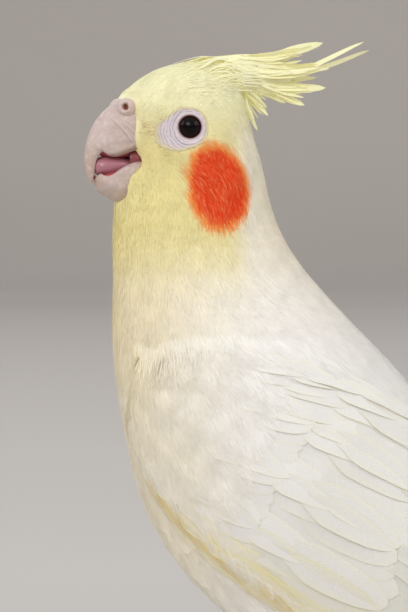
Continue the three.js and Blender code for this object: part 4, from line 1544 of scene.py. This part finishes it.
plumes = [
    (place, 1.0, plan["out"], 0, plan["out"], 0.22, plan["wide"]) for place, plan in enumerate(CREST)
]
plumes += lock_plumes(260, (0.6, 1.4), 0)
closed = vane_pattern(30, 5, tip=5, slant=0.04, root=0.25)
crest = crest_piece("crest_plumes", plumes, *closed)
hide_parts("crest")
wisps = lock_plumes(40, (1.2, 2.0), -0.2)
loose = barb_pattern(26, slant=0.12, full=0.3, parted=0.6, last=0.88)
crest_piece("crest_wisps", wisps, *loose, ragged=0.04)

# %% [markdown]
# Between the forehead and the crest long narrow strands lie back over the crown, so that the
# plumes seem to grow out of it instead of standing on it.

# %% Crown strands
def crown_strands(count):
    forward, _, up = in_head(MIDDLES).T
    weight = clear * smooth(up, 5.5, 9) * smooth(forward, -26, -22) * (1 - smooth(forward, 9, 12))
    points, normals = chosen(count, weight)
    growth = 1 - smooth(in_head(points)[:, 0], -2, 12)
    lengths = (3.0 + 8.0 * growth) * chance.uniform(0.7, 1.2, count)
    rise = (0.6 + 0.25 * growth) * chance.uniform(0.8, 1.15, count)
    sway = chance.normal(0, 0.04, count)
    paths, facing = lying(points, normals, lengths, rise, sway)
    shade = markings(points) * chance.uniform(0.92, 1.04, (count, 1))
    pattern, faces = vane_pattern(10, 3, tip=1.5, slant=0.0, root=0.7)
    widths = chance.uniform(0.22, 0.42, count)
    feather_mesh(
        "crown_strands", paths, facing, pattern, faces, widths, shade, shade, 0.1, fine_plumage,
        0.4,
    )


crown_strands(4200)

# %% [markdown]
# ## The bill
# Both halves are horn. The upper one is a deep hook, hollow below, with a notch in its cutting
# edge; the lower one is a short scoop. They could be sculpted from a ball, but a hook is easier
# to keep true in section. So each is drawn as rings between an upper and a lower line.

# %% Rings of half a bill
HORN = paint(204, 184, 176)
HORN_TIP = paint(198, 172, 156)
MOUTH = paint(186, 84, 90)
BILL_ROWS, OUTSIDE, INSIDE = 60, 33, 15  # rings, and columns on their outer and inner sides


def half_bill(upper, lower, widths, hollow, hand):
    """hand 1: arched above and hollow below; -1: the other way up. Columns run round the outside
    from the left edge to the right one and back along the inside."""
    top, bottom = curve(upper, BILL_ROWS), curve(lower, BILL_ROWS)
    half_width = curve(np.array(widths)[:, None], BILL_ROWS)
    crown, edge = (top, bottom) if hand > 0 else (bottom, top)
    outer = np.linspace(-math.pi / 2, math.pi / 2, OUTSIDE)
    inner = np.linspace(math.pi / 2, -math.pi / 2, INSIDE + 2)[1:-1]
    swell = np.concatenate([np.cos(outer) ** 0.85, np.cos(inner) ** 0.8 * hollow])
    pinch = 1 - 0.1 * smooth(np.abs(outer), 1.0, 1.57)  # the cutting edges turn in a little
    bent = np.sign(outer) * np.abs(np.sin(outer)) ** 1.1 * pinch
    sweep = np.concatenate([bent, np.sin(inner) * 0.76])
    place = edge[:, None] + (crown - edge)[:, None] * swell[None, :, None]
    points = head(place[..., 0], -half_width * sweep[None] * hand, place[..., 1])
    inside = np.concatenate([np.zeros(OUTSIDE), np.ones(INSIDE)])
    inside[[0, OUTSIDE - 1]] = 0.3
    tint = blend(HORN, HORN_TIP, smooth(np.arange(BILL_ROWS) / BILL_ROWS, 0.5, 1.0))
    return points, blend(tint[:, None], MOUTH, inside[None])


# %% [markdown]
# Horn grows in thin layers that flake at the surface. They are far thinner than any mesh here, so
# they are laid into the finish as two sizes of noise, pale flakes and darker layers.

# %% Finish of the horn
def horn_finish(name):
    horn = Finish(name)
    pressed = horn.add("ShaderNodeMapping", None, {0: horn.places(), "Scale": (1, 1, 2.4)})
    layers = horn.noise(260, 4, pressed)
    flakes = horn.noise(900, 5)
    pale = horn.add("ShaderNodeMapRange", None, {0: flakes, 1: 0.5, 2: 0.72})
    dark = horn.add("ShaderNodeMapRange", None, {0: layers, 1: 0.5, 2: 0.8})
    shade = horn.mix(horn.tint(), paint(236, 222, 214), 0.45 * pale)
    shade = horn.mix(shade, paint(150, 112, 100), 0.3 * dark)
    bump = horn.bump(layers + flakes * 0.6, 0.5, 0.12 * MM)
    return horn.done(Base_Color=shade, Roughness=0.42 + 0.2 * flakes, Normal=bump)


# %% Upper and lower bill
# Each row, from the root to the tip: a place (forward, up) on the upper line, one on the lower
# line and half the width between them, in mm.
UPPER_BILL = [
    ((10.6, 6.0), (10.4, -3.4), 4.4), ((14.0, 6.6), (12.6, -4.4), 5.0),
    ((17.0, 5.4), (14.6, -5.1), 5.0), ((19.5, 3.6), (16.4, -5.8), 4.7),
    ((21.6, 1.2), (18.1, -6.3), 4.2), ((23.0, -1.6), (19.6, -6.1), 3.5),
    ((23.8, -4.5), (20.7, -5.3), 2.7), ((24.0, -7.4), (21.8, -7.0), 1.9),
    ((23.6, -9.8), (22.1, -9.6), 1.2), ((22.7, -12.2), (22.4, -12.2), 0.25),
]
LOWER_BILL = [
    ((10.4, -7.4), (10.4, -14.6), 4.3), ((13.6, -7.4), (13.0, -15.7), 4.7),
    ((15.8, -8.1), (15.2, -16.0), 4.7), ((17.6, -9.1), (17.1, -15.9), 4.5),
    ((19.1, -10.2), (18.9, -15.1), 4.2), ((20.3, -10.4), (20.4, -14.1), 3.6),
    ((21.2, -9.9), (21.3, -12.9), 2.7), ((21.6, -10.4), (21.7, -11.6), 1.6),
    ((21.8, -10.9), (21.8, -11.1), 0.6),
]


def build_bill(name, node, stations, hollow, hand):
    points, tint = half_bill(*zip(*stations), hollow, hand)
    faces = net(*points.shape[:2], closed=True)
    piece = make_mesh(name, points.reshape(-1, 3), faces, tint.reshape(-1, 3))
    print(name, round(np.ptp(points[..., 2]) / MM, 1), "mm high with", len(faces), "faces")
    return dress(piece, horn_finish(name + "_horn"), [node])


upper_bill = build_bill("upper_bill", "bill_upper", UPPER_BILL, 0.5, 1)
build_bill("lower_bill", "bill_lower", LOWER_BILL, 0.55, -1)

# %% [markdown]
# ## Tongue and mouth
# The tongue is a thick blunt finger. Round it the mouth is a wet hollow, which shows dark at its
# back. Little of it shows in the narrow gape, so a cup and two soft cushions are enough: the palate
# above the tongue and the floor of the mouth below it. All of them share one wet finish, and the
# cup at the back is painted darker, as painted shade for the deep inside of the mouth.

# %% Finish of wet flesh
wet = Finish("wet_flesh")
wet_shade = wet.mix(wet.tint(), paint(180, 120, 124), 0.25 * wet.noise(700, 3))
wet_bump = wet.bump(wet.noise(1500, 3), 0.4, 0.1 * MM)
wet_finish = wet.done(
    Base_Color=wet_shade, Roughness=0.25, Normal=wet_bump, Coat_Weight=0.2, Coat_Roughness=0.15,
)

# %% Tongue
TONGUE = paint(182, 120, 132)
TONGUE_STEPS = 40
line = curve([(8.6, -8.2), (12.4, -8.6), (16.6, -8.2), (22.1, -8.5)], TONGUE_STEPS)
t = np.linspace(0.01, 0.99, TONGUE_STEPS)
blunt = (1 - (2 * t - 1) ** 8) ** 0.5
points = tube(head(line[:, 0], 0, line[:, 1]), 2.9 * blunt, 2.2 * blunt * (0.55 + 0.5 * t), UP)
faces = net(*points.shape[:2], closed=True)
tongue = make_mesh("tongue", points.reshape(-1, 3), faces, TONGUE)
dress(tongue, wet_finish, ["tongue"])
print("tongue", round(np.ptp(line[:, 0]), 1), "mm long")


# %% Palate, floor and lining of the mouth
def flesh(name, points, tint):
    faces = net(*points.shape[:2], closed=True)
    dress(make_mesh(name, points.reshape(-1, 3), faces, tint), wet_finish)
    print(name, len(faces), "faces")


flesh("palate", head_ball(np.array([16.4, 0, -4.5]), np.array([5.9, 3.5, 2.2])), MOUTH)
flesh("mouth_floor", head_ball(np.array([16.2, 0, -11.0]), np.array([4.9, 3.6, 2.0])), MOUTH)
rise = np.linspace(0.02, math.pi * 0.62, 14)[:, None]
turn = np.linspace(0, 2 * math.pi, 32, endpoint=False)
sideways, upwards = np.sin(rise) * np.cos(turn), np.sin(rise) * np.sin(turn)
cup = head(13.6 - 3.8 * np.cos(rise), 4.0 * sideways, -6.9 + 3.2 * upwards)
# the lining at the back is half the mouth's colour: painted shade for the deep inside of the mouth
flesh("mouth_lining", cup, MOUTH * 0.5)

# %% [markdown]
# ## The cere
# The cere is a soft saddle of skin over the root of the bill, with a round pad on each side, a
# nostril pit in each pad, and creases of skin that run down to the corner of the mouth. It could
# be cut from one ball, but the joins would be hard. So balls and thin tubes are set into each
# other, and a fine remesh runs them together.

# %% Pads with nostrils
NOSTRIL = {"forward": 16.4, "out": 4.3, "up": 4.3}
PADS = [  # middle and radii in mm: right, left and the saddle between them
    ((15.4, -2.5, 4.1), (2.1, 2.2, 2.15)),
    ((15.4, 2.5, 4.1), (2.1, 2.2, 2.15)),
    ((15.7, 0.0, 4.4), (1.9, 2.4, 1.9)),
]


def gathered(sheets):
    """Closed sheets of rings as one row of points and one of faces."""
    points, faces, count = [], [], 0
    for sheet in sheets:
        rows, columns = sheet.shape[:2]
        faces.append(net(rows, columns, closed=True) + count)
        points.append(sheet.reshape(-1, 3))
        count += rows * columns
    return np.concatenate(points), np.concatenate(faces)


def cere_pad(middle, radii):
    """A ball in the head's directions; one at the side has a pit and a faint rim round it."""
    middle = np.array(middle)
    ball = ellipsoid(middle, np.array(radii)).reshape(-1, 3)
    side = np.sign(middle[1])
    if side:
        pit = np.array([NOSTRIL["forward"], side * NOSTRIL["out"], NOSTRIL["up"]])
        reach = np.linalg.norm(ball - pit, axis=1) * (1 + 0.3 * ripple(ball * MM, 1.3))
        sunk = 0.62 * np.exp(-((reach / 0.75) ** 4))
        raised = 0.06 * np.exp(-(((reach - 1.2) / 0.35) ** 2))
        ball = ball + (middle - ball) * (sunk - raised)[:, None]
    return head(*ball.T).reshape(*BALL, 3)


cere_sheets = [cere_pad(*pad) for pad in PADS]
print(len(cere_sheets), "pads of", BALL[0] * BALL[1], "points")

# %% Creases down to the corner of the mouth
CREASE_STEPS = 40
CREASES = [  # three places (forward, out, up) and the thickness, in mm
    ((19.4, 3.4, 2.4), (17.3, 4.6, 0.2), (14.6, 5.2, -3.4), 0.32),
    ((17.9, 4.2, 3.0), (16.0, 4.9, 0.4), (14.2, 5.4, -1.6), 0.2),
    ((16.6, 4.6, 2.2), (15.0, 5.2, 0.6), (14.0, 5.6, -0.4), 0.18),
]
bill_points, bill_faces = arrays_of(upper_bill)
bill_tree = BVHTree.FromPolygons(bill_points.tolist(), bill_faces.tolist())
for side in (-1, 1):
    for *places, thick in CREASES:
        line = curve(places, CREASE_STEPS) * np.array([1, side, 1])
        line[:, 1:] += 0.12 * np.sin(np.linspace(0, 19, CREASE_STEPS))[:, None] * thick
        bed, away = landed(head(*line.T), bill_tree)
        fine = round_ends(CREASE_STEPS, 5) * thick + 0.02
        cere_sheets.append(tube(bed - away * 0.06 * MM, fine * 1.3, fine, UP, 12))
cere = fused(make_mesh("cere", *gathered(cere_sheets)), 0.16 * MM, 3)
print("cere", len(cere.data.polygons), "faces after the remesh")

# %% Finish of the cere
fleshy = Finish("cere_skin")


def pit_shade(side):
    """1 in the pit of a nostril, with an uneven rim."""
    middle = head(NOSTRIL["forward"] - 0.5, side * (NOSTRIL["out"] - 0.6), NOSTRIL["up"])
    ends = {0: fleshy.places(), 1: tuple(middle)}
    reach = fleshy.add("ShaderNodeVectorMath", {"operation": "DISTANCE"}, ends, 1)
    reach = reach + fleshy.noise(1400, 2) * (0.9 * MM)
    return fleshy.add("ShaderNodeMapRange", None, {0: reach, 1: 1.45 * MM, 2: 1.0 * MM})


pores = fleshy.noise(1900, 4)
cere_shade = fleshy.mix(paint(222, 204, 198), paint(200, 174, 166), pores)
# painted shade: the pits of the nostrils are painted dark brown, for the shadow in their openings
cere_shade = fleshy.mix(cere_shade, paint(128, 76, 54), pit_shade(1) + pit_shade(-1))
cere_bump = fleshy.bump(pores, 0.5, 0.12 * MM)
cere_finish = fleshy.done(Base_Color=cere_shade, Roughness=0.55, Normal=cere_bump)
dress(cere, cere_finish, ["cere"])
print("cere finish with", len(fleshy.tree.nodes), "nodes")

# %% [markdown]
# ## Eyes
# The eye is a dark brown ball, wet and glossy, with the pupil barely darker than the iris. The
# lids are a wrinkled sheet that starts at the opening, on the ball, and runs out over the face.
# Ball and lids could be one form, but apart the ball stays smooth right under the lids' edge and
# each takes a finish of its own.

# %% Finishes of eyes and lids
gloss = Finish("eye_gloss")
eye_shade = gloss.mix(gloss.tint(), paint(16, 9, 7), 0.3 * gloss.noise(1500, 3))
eye_finish = gloss.done(Base_Color=eye_shade, Roughness=0.08, Specular_IOR_Level=0.14)
bare = Finish("bare_skin")
crease = bare.noise(1500, 4)
bare_shade = bare.mix(bare.tint(), paint(176, 150, 146), 0.5 * crease)
bare_bump = bare.bump(crease, 0.4, 0.15 * MM)
lid_finish = bare.done(Base_Color=bare_shade, Roughness=0.6, Normal=bare_bump)

# %% Eyeball
PUPIL = paint(6, 4, 4)
IRIS = paint(26, 14, 11)
EYE_RIM = paint(70, 30, 30)
PUPIL_RADIUS = 1.25


def eyeball(name, side):
    """Rings round the gaze, from the front of the ball to its back."""
    gaze, ahead, up = eye_frame(side)
    polar = np.concatenate([np.linspace(0, 1.0, 30), np.linspace(1.05, math.pi, 20)])
    turn = np.linspace(0, 2 * math.pi, 48, endpoint=False)
    bulge = EYE_RADIUS + 0.12 * np.exp(-((polar / 0.55) ** 2)) - 0.12
    height, reach = bulge * np.cos(polar), bulge * np.sin(polar)
    ring = np.cos(turn)[:, None] * ahead + np.sin(turn)[:, None] * up
    place = height[:, None, None] * gaze + reach[:, None, None] * ring[None]
    spokes = 0.8 + 0.2 * np.sin(turn * 17)
    tint = blend(PUPIL, IRIS, (reach >= PUPIL_RADIUS)[:, None] * spokes)
    tint = blend(tint, EYE_RIM, smooth(reach, 2.1, 2.35)[:, None])
    points = (EYES[name] + place * MM).reshape(-1, 3)
    faces = net(len(polar), len(turn), closed=True)
    ball = make_mesh(f"eyeball_{name}", points, faces, tint.reshape(-1, 3))
    dress(ball, eye_finish, [f"eye_{name}"])


# %% Lids
SOCKET = 3.4  # nearer to the eye than this the form is hollow
LID_RED = paint(150, 92, 92)
LID_MARGIN = 1.2  # the sheet runs on under the plumage


def face_height(name, side, rho, angle):
    """How far the form stands out along the gaze, at places rho mm from the middle of the eye."""
    gaze, ahead, up = eye_frame(side)
    height = np.empty(rho.shape)
    for i, j in np.ndindex(*rho.shape):
        distance = max(rho[i, j], SOCKET)
        place = ahead * math.cos(angle[j]) * distance + up * math.sin(angle[j]) * distance
        hit = form.ray_cast(Vector(EYES[name] + (place + gaze * 20) * MM), Vector(-gaze))[0]
        height[i, j] = (np.array(hit) - EYES[name]) @ gaze / MM if hit is not None else -3
    return height


def lids(name, side):
    """A sheet of rings from inside the opening to under the plumage."""
    gaze, ahead, up = eye_frame(side)
    angle = np.linspace(-math.pi, math.pi, 96, endpoint=False)
    patch = np.interp(np.degrees(angle), *zip(*BARE_REACH))
    steps = np.concatenate([[-0.05, -0.02, 0.0], np.linspace(0.01, 1, 84)])
    rho = LID_OPENING + steps[:, None] * (patch + LID_MARGIN - LID_OPENING)[None]

    start = math.sqrt((EYE_RADIUS + 0.2) ** 2 - LID_OPENING**2)
    sunk = 0.1 + 1.1 * smooth(rho / patch, 1.05, 1.27)
    outer = face_height(name, side, rho, angle) - sunk
    height = start + (outer - start) * smooth(rho, LID_OPENING, 4.2)

    lip = 0.16 * np.exp(-(((rho - LID_OPENING - 0.3) / 0.28) ** 2))
    drift = 1.6 * np.sin(2 * angle + 1) + 0.9 * np.sin(5 * angle + rho * 1.3)
    drift = drift + 0.7 * np.sin(11 * angle - rho * 2)
    wave = np.sin(rho * 9 + drift) + 0.5 * np.sin(rho * 15 - drift * 1.4 + 2)
    folds = -0.14 * smooth(wave, 0.2, 1.3) * smooth(rho, 2.8, 3.4)
    lower = np.exp(-(((rho - 3.85) / 0.16) ** 2)) * smooth(-np.sin(angle), 0.2, 0.8)
    height = height + lip + folds - 0.16 * lower
    height[:2] = height[2] + np.array([[-0.55], [-0.2]])  # the edge turns in on to the ball

    place = (rho * np.cos(angle))[..., None] * ahead + (rho * np.sin(angle))[..., None] * up
    points = EYES[name] + (place + height[..., None] * gaze) * MM
    tint = blend(BARE, LID_RED, 0.8 * np.exp(-(((rho - LID_OPENING) / 0.22) ** 2)))
    # painted shade: the skin is darker in the groove under the lower lid and in the creases of its folds
    tint = tint * ((1 - 0.25 * lower) * (1 + folds * 2.4))[..., None]
    tint = blend(tint, FACE, 0.9 * smooth(rho / patch, 0.84, 1.08))
    faces = net(*rho.shape, closed=True)[:, ::-1]
    sheet = make_mesh(f"lids_{name}", points.reshape(-1, 3), faces, tint.reshape(-1, 3))
    dress(sheet, lid_finish)
    print(f"lids_{name}", len(faces), "faces, out to", round(rho.max(), 1), "mm from the eye")


for side_name, side in SIDES.items():
    eyeball(side_name, side)
    lids(side_name, side)

# %% [markdown]
# ## Feet
# Two toes point forward and two back. Shank and toes have raised scales across their upper side
# and pads below. Single scales could be modelled one by one, but on a foot this small they melt
# into rings. So shank and toes are ringed tubes that a remesh joins, with finer plates in the
# finish. The claws are smooth curved cones.

# %% Finishes of feet and claws
scaly = Finish("foot_scales")
plates = scaly.add(
    "ShaderNodeTexVoronoi", {"feature": "DISTANCE_TO_EDGE"}, {"Vector": scaly.places(), "Scale": 1500},
)
plates = scaly.add("ShaderNodeMapRange", None, {0: plates, 1: 0.0, 2: 0.25})
mottled = scaly.mix(paint(224, 192, 182), paint(212, 174, 162), scaly.noise(500, 3))
foot_shade = scaly.mix(paint(190, 152, 144), mottled, plates)
foot_bump = scaly.bump(plates, 0.7, 0.12 * MM)
foot_finish = scaly.done(Base_Color=foot_shade, Roughness=0.55, Normal=foot_bump)

horny = Finish("claw_horn")
drawn_out = horny.add("ShaderNodeMapping", None, {0: horny.places(), "Scale": (1, 0.25, 1)})
streak = horny.noise(1200, 4, drawn_out)
claw_shade = horny.mix(paint(222, 204, 186), paint(176, 146, 124), streak)
claw_bump = horny.bump(streak, 0.3, 0.08 * MM)
claw_finish = horny.done(Base_Color=claw_shade, Roughness=0.35, Normal=claw_bump)

# %% Feet and claws
TOES = [(-10, 13.5), (14, 17.5), (160, 16.0), (202, 10.5)]  # degrees outwards, and mm long
FOOT = {"x": 12.5, "y": 27.0, "z": 2.6}
FOOT_STEPS, CLAW_STEPS = 70, 30


def above_floor(x, y, height):
    return bird(x, y, FLOOR + height)


def shank_rings(x, y, z):
    """A tube from inside the thigh's plumage down to the middle of the foot."""
    line = curve(
        [(x, y + 8.6, 21.5), (x, y + 8.0, 15.2), (x, y + 3.4, 9.0), (x, y, z), (x, y - 1.2, z - 1.0)],
        FOOT_STEPS,
    )
    t = np.linspace(0, 1, FOOT_STEPS)
    waist = np.cos(2 * math.pi * t)  # widest at both ends
    scales = round_ends(FOOT_STEPS, 5) * (1 + 0.05 * np.abs(np.sin(t * math.pi * 13)))
    return tube(
        above_floor(*line.T), (1.75 + 0.5 * waist) * scales, (1.85 + 0.6 * waist) * scales,
        np.array([0, 1.0, 0]),
    )


def toe_rings(along, length):
    """A toe with pads below and scales above; along gives places out and up from the foot."""
    t = np.linspace(0, 1, FOOT_STEPS)
    line = curve([(-1.5, 2.1), (length * 0.3, 1.5), (length * 0.7, 1.25), (length, 1.05)], FOOT_STEPS)
    pads = 1 + 0.1 * np.cos(2 * math.pi * 2.5 * t) + 0.05 * np.abs(np.sin(t * math.pi * length * 0.8))
    girth = 1.62 * (1.05 - 0.3 * t) * pads * round_ends(FOOT_STEPS, 5)
    return tube(along(line), girth, 0.92 * girth, UP)


def claw_rings(along, length):
    line = curve([
        (length - 0.8, 1.2), (length + 1.8, 2.0), (length + 3.8, 1.5), (length + 5.0, 0.3),
    ], CLAW_STEPS)
    taper = (1 - np.linspace(0, 1, CLAW_STEPS) ** 1.6) * 0.92 + 0.03
    return tube(along(line), 0.8 * taper, taper, UP)


def build_foot(name, side):
    x, y = FOOT["x"] * side, FOOT["y"]
    sheets = [shank_rings(x, y, FOOT["z"])]
    for number, (turn, length) in enumerate(TOES, 1):
        angle = math.radians(turn)
        ahead = side * math.sin(angle), -math.cos(angle)

        def along(line):
            return above_floor(x + ahead[0] * line[:, 0], y + ahead[1] * line[:, 0], line[:, 1])

        sheets.append(toe_rings(along, length))
        claw = make_mesh(f"claw_{name}_{number}_horn", *gathered([claw_rings(along, length)]))
        dress(claw, claw_finish, [f"claw_{name}_{number}"])
    foot = fused(make_mesh(f"foot_{name}_skin", *gathered(sheets)), 0.22 * MM, 2)
    places, _ = arrays_of(foot)
    places[:, 2] = np.maximum(places[:, 2], 0.0)  # the pads are flat on the floor
    foot.data.vertices.foreach_set("co", places.astype(np.float32).ravel())
    foot.data.update()
    dress(foot, foot_finish, [f"foot_{name}"])
    print(f"foot_{name}_skin", len(foot.data.polygons), "faces and", len(TOES), "claws")


for side_name, side in SIDES.items():
    build_foot(side_name, side)
